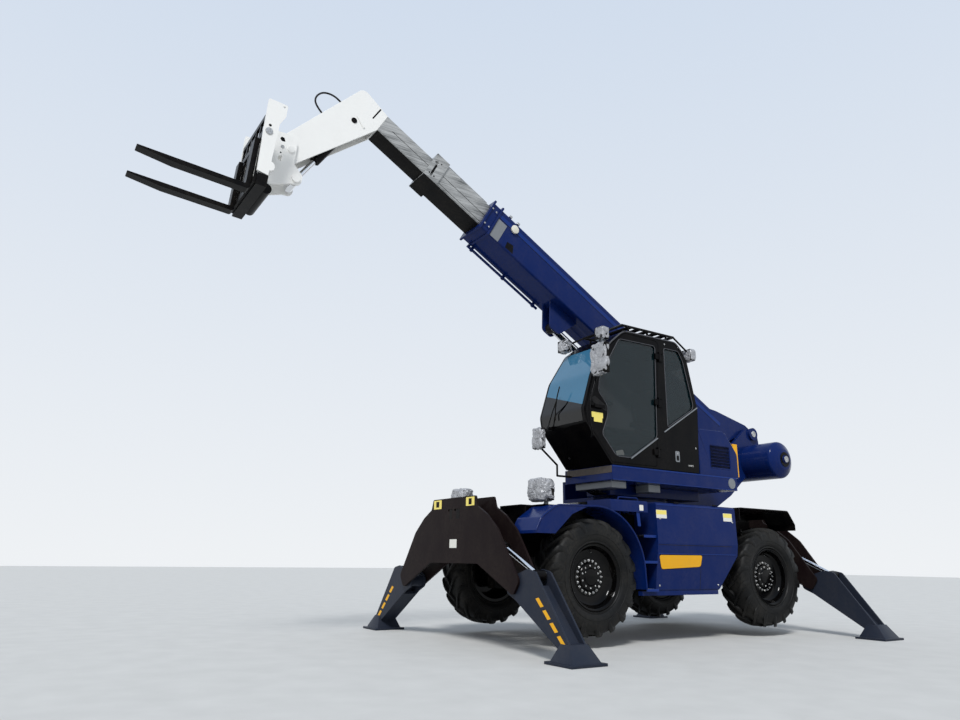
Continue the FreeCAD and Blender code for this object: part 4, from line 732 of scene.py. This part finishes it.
# Turret beam: its blank end disc, the plate across its front, folds, boxes and hoses under it
beamPlan = {"disc": (-0.842, 1.15, 1.9), "x": (-0.945, 1.254), "side": 1.1495, "under": 1.8118,
            "folds": {"deck_fold": ((1.962, 1.98), 0.0035, 0.0015), "deck_foot_fold": ((1.814, 1.822), 0.003, 0.001)},
            "hoseY": (0.5, 0.56, 0.62, 0.68)}
disc = lathe([(0, 0), (0.0, 0.068), (0.004, 0.068), (0.006, 0.062), (0.004, 0.056), (0.003, 0.05), (0.005, 0.046),
              (0.0055, 0)], beamPlan["disc"], (0, 1, 0), 48)
addPiece("beam_disc", disc, "steel", "turret", angle=20)
front = decal(rectangle((0.335, 1.142), (1.896, 1.976)), 1.258, "x", thick=0.004, ease=0.004)
addPiece("deck_front_plate", front, "frontPlate", "turret", bevel=0.0012)
# the folds along the deck take the lighter navy: painted highlight
for name, (z, out, ease) in beamPlan["folds"].items():
    fold = slab(rectangle(beamPlan["x"], z), beamPlan["side"], beamPlan["side"] + out, "y")
    addPiece(name, fold, "navyEdge", "turret", bevel=ease)
deckBoxes = [brick((0.95, 1.19), (0.42, 1.05), (1.735, beamPlan["under"])),
             brick((0.35, 0.55), (0.8, 1.02), (1.72, beamPlan["under"]))]
addPiece("deck_boxes", deckBoxes, "steel", "turret", bevel=0.006)
deckHoses = [tube(eased([(1.1, y, 1.75), (1.02, y, 1.7), (0.6, y - 0.1, 1.71), (0.2, y - 0.2, 1.76),
                         (0.2, y - 0.2, 1.812)], 0.08), 0.011, 10) for y in beamPlan["hoseY"]]
addPiece("deck_hoses", deckHoses, "hose", "turret")

# The short deck and cowl on the far side, behind the boom's foot
farPlan = {"y": (-1.118, -0.3005), "louvreX": (-0.75, -0.25), "louvreZ": np.arange(2.05, 2.28, 0.035),
           "cowl": [(0.02, 1.9823), (0.02, 2.27), (-0.3, 2.36), (-0.76, 2.42), (-1.035, 2.18), (-1.035, 1.9823)]}
farDeck = joined(brick((-0.95, 0.06), (-1.15, -0.3005), (1.812, 1.982)),
                 brick((-0.7, -0.05), (-0.72, -0.3005), (1.6858, 1.8118)))
addPiece("far_deck", farDeck, "navy", "turret", bevel=0.006, replaces=["platform"])
addPiece("far_cowl", sheet(farPlan["cowl"], *farPlan["y"], ease=0.07, steps=7), "navy", "turret", bevel=0.012,
         replaces=["cowls"])
louvres = [slab(rectangle(farPlan["louvreX"], (z, z + 0.014)), -1.1225, -1.1165, "y") for z in farPlan["louvreZ"]]
addPiece("far_cowl_louvres", louvres, "black", "turret", bevel=0.001)

# Vent mesh in the near cowl's pocket
ventPlan = {"x": (-0.88, -0.505), "z": (2.095, 2.375), "y": 1.1125, "gap": 0.013, "wire": 0.0016, "rim": 0.012}
(vx0, vx1), (vz0, vz1), vy, out = ventPlan["x"], ventPlan["z"], ventPlan["y"], ventPlan["rim"]
wires = [bar((x, vy, vz0), (x, vy, vz1), ventPlan["wire"], 6) for x in np.arange(vx0, vx1, ventPlan["gap"])]
wires += [bar((vx0, vy + 0.002, z), (vx1, vy + 0.002, z), ventPlan["wire"], 6)
          for z in np.arange(vz0, vz1, ventPlan["gap"])]
addPiece("vent_mesh", wires, "black", "turret")
addPiece("vent_rim", loopTube(rectangle((vx0 - out, vx1 + out), (vz0 - out, vz1 + out)), 1.1185, 0.0035, 0.02, 6),
         "navy", "turret")
print("side box, deck and cowls done")


# Cab: seals and mouldings, rail, latch, wiper, and what is inside

cabPlan = {"doorGlass": [(0.5, 2.37), (0.96, 2.085), (1.185, 2.09), (1.4, 2.33), (1.3, 2.56),
                         (1.3, 2.67), (1.44, 2.83), (1.415, 3.0), (1.075, 3.535), (0.455, 3.545)],
           "quarter": [(-0.17, 2.8), (0.3, 2.52), (0.3, 3.545), (0.03, 3.545), (-0.045, 3.42),
                       (-0.19, 2.86)],
           "gutter": [(1.345, 3.3), (1.235, 3.455), (1.02, 3.632), (0.95, 3.648), (0.08, 3.655), (-0.06, 3.52)],
           "handle": [(1.31, 2.6), (1.34, 2.6), (1.535, 2.69), (1.545, 2.74), (1.5, 2.765), (1.32, 2.665)],
           "paper": [(1.04, 2.11), (1.165, 2.105), (1.178, 2.15), (1.06, 2.175)],
           "bolts": [(-0.115, 2.072), (-0.08, 2.071), (-0.045, 2.07), (-0.19, 2.3), (0.03, 3.6), (0.28, 3.6)],
           "face": 1.1495, "middleY": 0.74, "floorZ": 2.0303}
face = cabPlan["face"]
# the seals' and gutter's grey is partly their rubber and partly a painted highlight line
addPiece("door_glass_seal", loopTube(cabPlan["doorGlass"], face, 0.005), "seal", "door")
addPiece("quarter_glass_seal", loopTube(cabPlan["quarter"], face, 0.005, 0.035), "seal", "turret")
addPiece("roof_gutter", sideTube(eased([(x, 1.156, z) for x, z in cabPlan["gutter"]], 0.06), 0.009, 10), "seal",
         "turret")
addPiece("corner_moulding", sideTube([(-0.262, 1.1515, 2.832), (0.366, 1.1515, 2.452)], 0.008), "steel", "turret")
addPiece("door_moulding", sideTube([(0.492, 1.1525, 2.362), (0.952, 1.1525, 2.077)], 0.008), "steel", "door")
rail = eased([(1.475, 1.15, 3.06), (1.48, 1.197, 3.05), (1.622, 1.197, 2.66), (1.622, 1.197, 2.42),
              (1.585, 1.197, 2.3), (1.56, 1.15, 2.27)], 0.035)
addPiece("grab_rail", sideTube(rail, 0.013, 12), "cabBlack", "turret")
addPiece("latch_plate", sheet(rectangle((0.118, 0.192), (2.1, 2.235)), face, 1.1545, 0.02, 6), "steel",
         "turret", bevel=0.0015)
addPiece("latch_cup", sheet(rectangle((0.134, 0.176), (2.118, 2.18)), 1.154, 1.1552, 0.012, 6),
         "black", "turret")
addPiece("latch_lock", bar((0.155, 1.154, 2.208), (0.155, 1.1575, 2.208), 0.01, 20), "zinc", "turret")
addPiece("handle_plate", sheet(cabPlan["handle"], face, 1.1535, 0.012), "plastic", "door",
         bevel=0.001)
addPiece("cab_bolts", bolts([(x, 1.15, z) for x, z in cabPlan["bolts"]], (0, 1, 0), 0.009, 0.006), "zinc", "turret")
addPiece("door_paper", sheet(cabPlan["paper"], 1.1315, 1.1322, 0.015), "labelWhite", "door")
# wiper: pivot on the front panel under the lower pane, arm and blade leaning over it
wiperArm = sideTube(eased([(1.64, 0.52, 2.44), (1.694, 0.52, 2.455), (1.7, 0.6, 2.6), (1.694, 0.7, 2.78)],
                          0.02), 0.007)
blade = sideTube([(1.69, 0.655, 2.52), (1.7, 0.675, 2.66), (1.694, 0.7, 2.8), (1.668, 0.72, 2.93)], 0.008, 6)
addPiece("wiper", joined(wiperArm, blade, bar((1.625, 0.52, 2.44), (1.7, 0.52, 2.452), 0.02)), "black", "turret")

# one windscreen pane laid over the front's profile: points P + n t of the profile P(z), n its normal;
# above a slanting line its blue is a painted reflection of the sky, below it near black is painted shade of the cab
screenPlan = {"profile": [(1.645, 2.445), (1.668, 2.6), (1.525, 3.04), (1.25, 3.45), (1.0, 3.64)],
              "ease": [[0.028], [0.036], [0.024]], "y": (0.365, 1.105), "low": 2.462, "high": 3.445,
              "line": ((0.51, 2.83), (1.01, 2.68)), "out": (-0.001, 0.0035)}


def pane(low, high):
    # low and high give the pane's lower and upper edge as heights at each y
    profile = eased(screenPlan["profile"], np.array(screenPlan["ease"]), 9)
    y = np.linspace(*screenPlan["y"], 13)
    z = low(y) + np.linspace(0, 1, 33)[:, None] * (high(y) - low(y))
    x = np.interp(z, profile[:, 1], profile[:, 0])
    slope = np.interp(z, profile[:, 1], np.gradient(profile[:, 0], profile[:, 1]))
    normal = unit(np.stack([np.ones_like(z), 0 * z, -slope], -1))
    skin = np.stack([x, np.broadcast_to(y, z.shape), z], -1)
    layers = [skin + normal * out for out in screenPlan["out"]]
    return gridOf(np.concatenate([layers[0], layers[1][:, ::-1]], 1), around=True, capped=True)


def skyline(y):
    (y0, z0), (y1, z1) = screenPlan["line"]
    return z0 + (y - y0) * (z1 - z0) / (y1 - y0)


def levelEdge(key):
    return lambda y: 0 * y + screenPlan[key]


for name, edges, finish in (("screen_sky", (skyline, levelEdge("high")), "frontGlass"),
                            ("screen_dark", (levelEdge("low"), skyline), "lowGlass")):
    addPiece(name, pane(*edges), finish, "turret", angle=50, replaces=["cab_glass"])

# slats across the roof guard
slats = [bar((x, 0.4, 3.7445), (x, 1.08, 3.7445), 0.0075, 8) for x in np.arange(0.085, 0.95, 0.0767)]
addPiece("guard_slats", slats, "black", "turret")


def cushion(x, y, z, crown):
    # a pad between its lowest and highest corners: a rounded box, crowned on top by (1 - a^2)(1 - b^2),
    # its sides pulled in between the corners, with two sewn channels
    a, b, c = np.moveaxis(blockBall(22, 5)[1], -1, 0)
    pulls = 1 - 0.05 * (1 - a ** 2) * np.abs(b) ** 3, 1 - 0.05 * (1 - b ** 2) * np.abs(a) ** 3
    seam = sum(np.exp(-((b - s) / 0.045) ** 2) for s in (-0.42, 0.42)) * np.clip(c, 0, 1)
    lift = c * (1 + crown * (1 - a ** 2) * (1 - b ** 2) * (c > 0)) - 0.16 * seam
    low, high = np.array([x[0], y[0], z[0]]), np.array([x[1], y[1], z[1]])
    return ballMesh((low + high) / 2 + np.stack([a * pulls[1], b * pulls[0], lift], -1) * (high - low) / 2)


def leaning(shape, foot, angle):
    # turned about a line along y through foot (x, z)
    c, s = np.cos(np.radians(angle)), np.sin(np.radians(angle))
    x, z = shape[0][:, 0] - foot[0], shape[0][:, 2] - foot[1]
    return np.stack([foot[0] + c * x + s * z, shape[0][:, 1], foot[1] - s * x + c * z], -1), shape[1]


# Seat: x, half width, z and crown of each cushion; the back ones are drawn lying and lean on the hinge
my, fz = cabPlan["middleY"], cabPlan["floorZ"]
seatPlan = {"hinge": (0.255, 2.44), "lean": -80, "headShift": (-0.115, 0, 0.635), "cushions": {
    "seat_pad": ((0.25, 0.76), 0.235, (2.3, 2.425), 0.25), "seat_back": ((0, 0.62), 0.215, (0, 0.105), 0.3),
    "head_rest": ((0, 0.17), 0.13, (0, 0.085), 0.3)}}
hingeX, hingeZ = seatPlan["hinge"]
for name, (x, wide, z, crown) in seatPlan["cushions"].items():
    shape = cushion(x, (my - wide, my + wide), z, crown)
    if name != "seat_pad":
        shape = leaning(moved(shape, (hingeX, 0, hingeZ)), seatPlan["hinge"], seatPlan["lean"])
    if name == "head_rest":
        shape = moved(shape, seatPlan["headShift"])
    addPiece(name, shape, "seat", "turret", angle=60, replaces=["cab_interior"])
seatBase = joined(brick((0.27, 0.7), (my - 0.19, my + 0.19), (fz + 0.001, 2.19)),
                  sheet([(0.24, 2.19), (0.72, 2.19), (0.75, 2.305), (0.2, 2.305)], my - 0.2, my + 0.2, 0.02))
addPiece("seat_base", seatBase, "plastic", "turret", bevel=0.008, replaces=["cab_interior"])
armPlan = {"pad": [(0.2, 2.47), (0.62, 2.53), (0.8, 2.55), (0.8, 2.49), (0.62, 2.47), (0.25, 2.4)],
           "knob": [(-0.025, 0), (-0.022, 0.014), (0.0, 0.022), (0.03, 0.02), (0.042, 0.01), (0.045, 0)]}
arms = []
for s in (1, -1):
    y = my + s * 0.3
    arms += [sheet(armPlan["pad"], y - 0.045, y + 0.045, 0.02),
             brick((0.35, 0.48), (y - 0.03, y + 0.03), (2.25, 2.48)),
             slab(rectangle((0.3, 0.52), (2.24, 2.262)), min(y, my + s * 0.19), max(y, my + s * 0.19), "y"),
             sideTube([(0.73, y, 2.54), (0.745, y, 2.63), (0.735, y, 2.67)], 0.012, 10),
             lathe(armPlan["knob"], (0.738, y, 2.68), (0, 0, 1), 20)]
addPiece("arm_rests", arms, "plastic", "turret", bevel=0.004)

# Steering column and wheel, consoles, mat and display
column = joined(sheet([(1.06, fz), (1.2, fz), (1.22, 2.3), (1.16, 2.52), (1.02, 2.48)], my - 0.09, my + 0.09, 0.03),
                sideTube([(1.12, my, 2.44), (1.085, my, 2.79)], 0.035, 16),
                sheet([(1.05, 2.66), (1.21, 2.72), (1.215, 2.76), (1.06, 2.755)], my - 0.13, my + 0.13, 0.015))
addPiece("steering_column", column, "plastic", "turret", bevel=0.006, replaces=["cab_interior"])
wheelAt = {"x": 1.084, "z": 2.792, "radius": 0.175, "thick": 0.014}
t = np.linspace(0, 2 * np.pi, 49)[:-1]
u = np.linspace(0, 2 * np.pi, 12, endpoint=False)
outward = np.stack([np.cos(t), np.sin(t), 0 * t], -1)[:, None]
ring = (np.array([wheelAt["x"], my, wheelAt["z"]]) + outward * (
    wheelAt["radius"] + wheelAt["thick"] * np.cos(u)[None, :, None])
    + (wheelAt["thick"] * np.sin(u))[None, :, None] * np.array([0, 0, 1]))
spokes = [tube([(1.084, my, 2.785), (1.084 + 0.17 * np.cos(a), my + 0.17 * np.sin(a), 2.792)], 0.01, 8)
          for a in (np.pi / 2, -np.pi / 2, np.pi)]
boss = lathe([(0, 0), (0, 0.045), (0.02, 0.042), (0.026, 0.02), (0.026, 0)], (1.084, my, 2.78), (0, 0, 1), 28)
addPiece("steering_wheel", joined(gridOf(ring, around=True, ring=True), *spokes, boss), "plastic", "turret",
         replaces=["cab_interior"])
consoles = [sheet([(-0.15, fz), (0.75, fz), (0.75, 2.36), (0.6, 2.48), (-0.15, 2.48)], 0.375, 0.44, 0.03),
            sheet([(-0.16, fz), (-0.02, fz), (-0.05, 2.7), (-0.19, 2.74)], 0.5, 1.02, 0.03)]
addPiece("side_console", consoles, "plastic", "turret", bevel=0.006)
mat = slab(rounded([(-0.1, 0.4), (1.22, 0.4), (1.22, 1.09), (-0.1, 1.09)], 0.04), fz - 0.001, fz + 0.006, "z")
addPiece("floor_mat", mat, "hose", "turret")
dials = [sheet([(1.3, 2.5), (1.42, 2.56), (1.4, 2.74), (1.28, 2.7)], 0.42, 0.62, 0.015),
         sideTube([(1.35, 0.52, 2.51), (1.36, 0.52, 2.1)], 0.016, 10)]
addPiece("display", dials, "plastic", "turret", bevel=0.004)
print("cab done")


# Lamps and mirrors, still in their bubble film

def wrapped(low, high, seed):
    # film round a box: a rounded box on a sphere's grid, pushed out by folds sum |sin(k.p + phase)| / |k|
    draw = np.random.default_rng(seed)
    way, box = blockBall(20, 6)
    points = box * ((np.array(high) - low) / 2 + 0.006)
    waves = draw.normal(size=(26, 3)) * np.geomspace(25, 190, 26)[:, None]
    folds = sum(np.abs(np.sin(points @ k + draw.uniform(0, 6.3))) * 60 / np.linalg.norm(k) for k in waves)
    folds = np.clip((folds - folds.mean()) / folds.std(), -2, 1.2)[..., None]
    return ballMesh(points * (1 + folds * 0.03) + way * folds * 0.0022 + (np.array(high) + low) / 2)


wrapPlan = {"roof_lamp_left": ((1.265, 1.043, 3.485), (1.375, 1.187, 3.633), 3),
            "roof_lamp_right": ((1.265, 0.343, 3.485), (1.375, 0.487, 3.633), 5),
            "roof_lamp_rear": ((-0.305, 1.008, 3.475), (-0.205, 1.152, 3.623), 7),
            "mirror": ((1.52, 1.19, 2.985), (1.585, 1.44, 3.345), 11),
            "low_mirror": ((1.728, 0.335, 2.205), (1.795, 0.51, 2.45), 13)}
for name, (low, high, seed) in wrapPlan.items():
    addPiece(name + "_film", wrapped(low, high, seed), "wrap", "turret", angle=50)
lampPlan = {"low": (1.965, 0.7, 1.545), "high": (2.15, 0.97, 1.785), "seed": {1: 17, -1: 19}, "at": (2.02, 0.88),
            "footX": (1.9, 2.14), "footZ": (1.492, 1.5)}
for side, sign in sides:
    start, (x, y) = "head_lamp_" + side, lampPlan["at"]
    film = wrapped(lampPlan["low"], lampPlan["high"], lampPlan["seed"][sign])
    addPiece(start + "_film", film if sign > 0 else flipped(film), "wrap", "chassis", angle=50)
    tape = lathe([(0, 0.02), (0, 0.026), (0.045, 0.026), (0.045, 0.02)], (x, sign * y, 1.5), (0, 0, 1), 24)
    addPiece(start + "_tape", tape, "steel", "chassis")
    foot = joined(brick(lampPlan["footX"], (sign * y - 0.11, sign * y + 0.11), lampPlan["footZ"]),
                  bolts([(1.92, sign * y + 0.09, 1.5), (2.12, sign * y + 0.09, 1.495)], (0, 0, 1), 0.012, 0.01))
    addPiece(start + "_foot", foot, "black", "chassis", bevel=0.001)
print("wraps done")


# Boom and head: what is bolted, cut or drawn on their flanks

def onBoom(shape):
    # from (along, across the flank, height) on the boom's own axes to the machine's
    along, y, height = shape[0].T
    c, s = np.cos(boomTilt), np.sin(boomTilt)
    return np.stack([boomFoot[0] + along * c - height * s, y, boomFoot[1] + along * s + height * c], -1), shape[1]


def bothSides(shape):
    return joined(shape, flipped(shape))


def boomPlate(corners, face, thick=0.001):
    # a flat shape (along, height) standing proud of both flanks whose half width is face
    return bothSides(onBoom(slab(corners, face - 0.0005, face + thick, "y")))


def boomLine(run, height, half, face):
    return boomPlate(rectangle(run, (height - half, height + half)), face)


def dots(places, y, radius, thick, sides=24):
    # round heads (x, z) that stand out of a face towards +y, and their like on the other side
    heads = [bar((x, y - 0.001, z), (x, y + thick, z), radius, sides) for x, z in places]
    return joined(*heads, *(flipped(head) for head in heads))


def headPlate(corners, radius, face, thick):
    # a plate (x, z) with eased corners standing out of a face, and its like on the other side
    return bothSides(sheet(corners, face - 0.001, face + thick, radius))


boomPlan = {
    "faces": {"base": 0.225, "mid": 0.18, "collar": 0.198, "inner": 0.14, "window": 0.243},
    "midRun": (1.4, 6.18), "innerRun": (2.2, 7.0), "baseRun": (0.6, 5.3), "bandZ": (-0.262, -0.205),
    "collarHoles": [(6.362, -0.29), (6.356, -0.486), (6.28, -0.487), (6.285, -0.262)],
    "collarSlot": ((6.317, 6.342), (-0.478, -0.322)),
    "strip": [(5.281, -0.285), (5.13, -0.285), (5.133, -0.581), (5.276, -0.583)],
    "stripSlot": [(5.02, -0.471), (4.92, -0.448), (4.87, -0.56), (5.009, -0.563)],
    "windowBolts": [(5.425, -0.238), (5.358, -0.249), (5.418, -0.508), (5.345, -0.512)],
    "lamp": (5.02, -0.245), "fittings": (4.98, 5.12), "sheave": (6.225, 0.11, -0.205),
}
baseFace, midFace, collarFace, innerFace, windowFace = boomPlan["faces"].values()
addPiece("mid_lines", joined(*(boomLine(boomPlan["midRun"], h, 0.003, midFace) for h in (-0.372, -0.5))), "under",
         "boom_mid")
addPiece("inner_lines", boomLine(boomPlan["innerRun"], -0.37, 0.003, innerFace), "under", "boom_inner")
addPiece("base_groove", boomLine(boomPlan["baseRun"], -0.266, 0.004, baseFace), "black", "boom_base")
# the band above the groove takes the lighter navy: painted highlight
addPiece("base_band", boomPlate(rectangle(boomPlan["baseRun"], boomPlan["bandZ"]), baseFace, 0.0006), "navyEdge",
         "boom_base")
# dark discs and a dark slot on the collar: painted shade in holes
holes = [onBoom(bar((a, collarFace - 0.001, h), (a, collarFace + 0.0008, h), 0.011, 20))
         for a, h in boomPlan["collarHoles"]]
slot = boomPlate(rounded(rectangle(*boomPlan["collarSlot"]), 0.012), collarFace)
addPiece("collar_holes", joined(slot, *holes, *(flipped(hole) for hole in holes)), "under", "boom_mid")
addPiece("strip_plate", onBoom(slab(boomPlan["strip"], 0.2245, 0.229, "y")), "steel", "boom_base", bevel=0.001)
# dark patch where the strip's slot is: painted shade
addPiece("strip_slot", onBoom(slab(boomPlan["stripSlot"], 0.2245, 0.2258, "y")), "under", "boom_base")
a, h = boomPlan["lamp"]
lamp = lathe([(0, 0), (0, 0.05), (0.018, 0.058), (0.03, 0.058), (0.034, 0.052), (0.034, 0)],
             (a, baseFace - 0.001, h), (0, 1, 0), 40)
addPiece("boom_lamp", onBoom(lamp), "cream", "boom_base", angle=40)
heads = bolts([(a, windowFace, h) for a, h in boomPlan["windowBolts"]], (0, 1, 0), 0.01, 0.008)
addPiece("window_bolts", bothSides(onBoom(heads)), "zinc", "boom_base")
sheave = lathe([(0, 0), (0, 0.04), (0.006, 0.046), (0.01, 0.04), (0.024, 0.04), (0.028, 0.046), (0.034, 0.04),
                (0.034, 0)], boomPlan["sheave"], (0, 1, 0), 36)
addPiece("chain_sheave", onBoom(sheave), "cream", "boom_mid")
fittings = [onBoom(brick((a, a + 0.045), (0.175, 0.205), (-0.111, -0.078))) for a in boomPlan["fittings"]]
addPiece("boom_fittings", fittings, "zinc", "boom_base", bevel=0.003)
addPiece("pivot_caps", dots([boomFoot], 0.334, 0.048, 0.006, 32), "zinc", "turret")
hub = (-2.45, 2.38)
rings = [lathe([(0, 0.062), (0, 0.108), (0.004, 0.108), (0.004, 0.062)], (hub[0], s * 0.8665, hub[1]), (0, s, 0), 48)
         for s in (1, -1)]
addPiece("drum_hub_ring", rings, "black", "turret")
addPiece("drum_hub_cap", dots([hub], 0.894, 0.046, 0.004, 36), "zinc", "turret")

# Cylinder eyes: a sleeve round the lift rod's eye and one round each leg rod's
c, s = np.cos(boomTilt), np.sin(boomTilt)
eyeX, eyeZ = boomFoot[0] + 3.76 * c + 0.85 * s, boomFoot[1] + 3.76 * s - 0.85 * c
addPiece("lift_eye_sleeve", bar((eyeX, -0.0605, eyeZ), (eyeX, 0.0605, eyeZ), 0.0735, 36, 0.004), "black", "lift_rod")
legPlan = {"middle": {"front": 2.5545, "rear": -2.4375}, "eye": (1.43, 0.762), "radius": 0.0545, "half": 0.06}
for end, side, sign in places:
    x, (y, z), half = legPlan["middle"][end], legPlan["eye"], legPlan["half"]
    sleeve = bar((x - half, sign * y, z), (x + half, sign * y, z), legPlan["radius"], 32, 0.003)
    addPiece("leg_eye_" + end + "_" + side, sleeve, "black", "leg_rod_" + end + "_" + side)

# Head and carriage: pins, keepers and holes
headFace, hitchFace, cheekFace = 0.13, 0.161, 0.45
addPiece("base_pin_keeper", headPlate([(4.246, 6.012), (4.222, 6.0), (4.128, 5.896), (4.15, 5.876)], 0.006,
                                      headFace, 0.01), "white", "boom_inner", bevel=0.001)
addPiece("base_pin_head", dots([(4.27, 5.94)], headFace, 0.036, 0.007, 32), "black", "boom_inner")
# dark patch where the head's slot is: painted shade
addPiece("head_slot", headPlate([(3.925, 6.215), (4.028, 6.05), (4.042, 6.06), (3.942, 6.225)], 0.006, headFace,
                                0.0008), "under", "boom_inner")
addPiece("hitch_pins", dots([(5.099, 5.284)], hitchFace, 0.02, 0.006), "zinc", "carriage")
# dark disc and patch where the hitch's holes are: painted shade
cut = headPlate([(5.07, 5.352), (5.086, 5.398), (5.12, 5.402), (5.132, 5.374), (5.112, 5.35)], 0.01, hitchFace,
                0.0008)
addPiece("hitch_holes", joined(dots([(5.113, 5.207)], hitchFace, 0.01, 0.0008), cut), "under", "carriage")
addPiece("cheek_pins", dots([(5.336, 5.239)], cheekFace, 0.04, 0.008, 32), "zinc", "carriage")
# dark disc where the cheek's hole is: painted shade
addPiece("cheek_holes", dots([(5.33, 5.312)], cheekFace, 0.016, 0.0008), "under", "carriage")
print("boom, head and carriage done")

# Rolled lips along the front fenders' outer edges: an arch round the wheel, then the fall to the nose
cx, cz, r, y = 1.55, 0.78, 0.715, 1.184
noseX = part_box("front_fenders")[1][0] - slewX
arch = [(cx + r * np.cos(a), y, cz + r * np.sin(a)) for a in np.radians(np.linspace(180, 90, 30))]
fall = eased([arch[-1], (cx + 0.56, y, 1.482), (noseX - 0.086, y, 1.352), (noseX - 0.004, y, 1.205)], 0.05)
lip = sideTube(np.concatenate([[(cx - r - 0.01, y, 0.61)], arch, fall[1:]]), 0.011, 10)
addPiece("fender_lips", bothSides(lip), "navy", "chassis", angle=50)
print("fender lips done")

# The hose that loops out of the head's top and back into it
hosePlan = {"route": [(4.394, 6.15), (4.455, 6.205), (4.56, 6.238), (4.67, 6.215), (4.745, 6.115), (4.722, 6.01),
                      (4.612, 5.912)], "y": 0.05, "diameter": 0.022, "length": 0.663}
route = [(slewX + x, hosePlan["y"], z) for x, z in hosePlan["route"]]
curve = bpy.data.curves.new("head_hose", "CURVE")
curve.dimensions, curve.bevel_depth, curve.bevel_resolution = "3D", hosePlan["diameter"] / 2, 4
spline = curve.splines.new("NURBS")
spline.points.add(len(route) - 1)
for point, place in zip(spline.points, route):
    point.co = (*place, 1)
spline.order_u, spline.use_endpoint_u, spline.resolution_u = 3, True, 12
curve.materials.append(finishes["hose"])
hose = bpy.data.objects.new("head_hose", curve)
bpy.context.scene.collection.objects.link(hose)
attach(hose, "boom_inner")
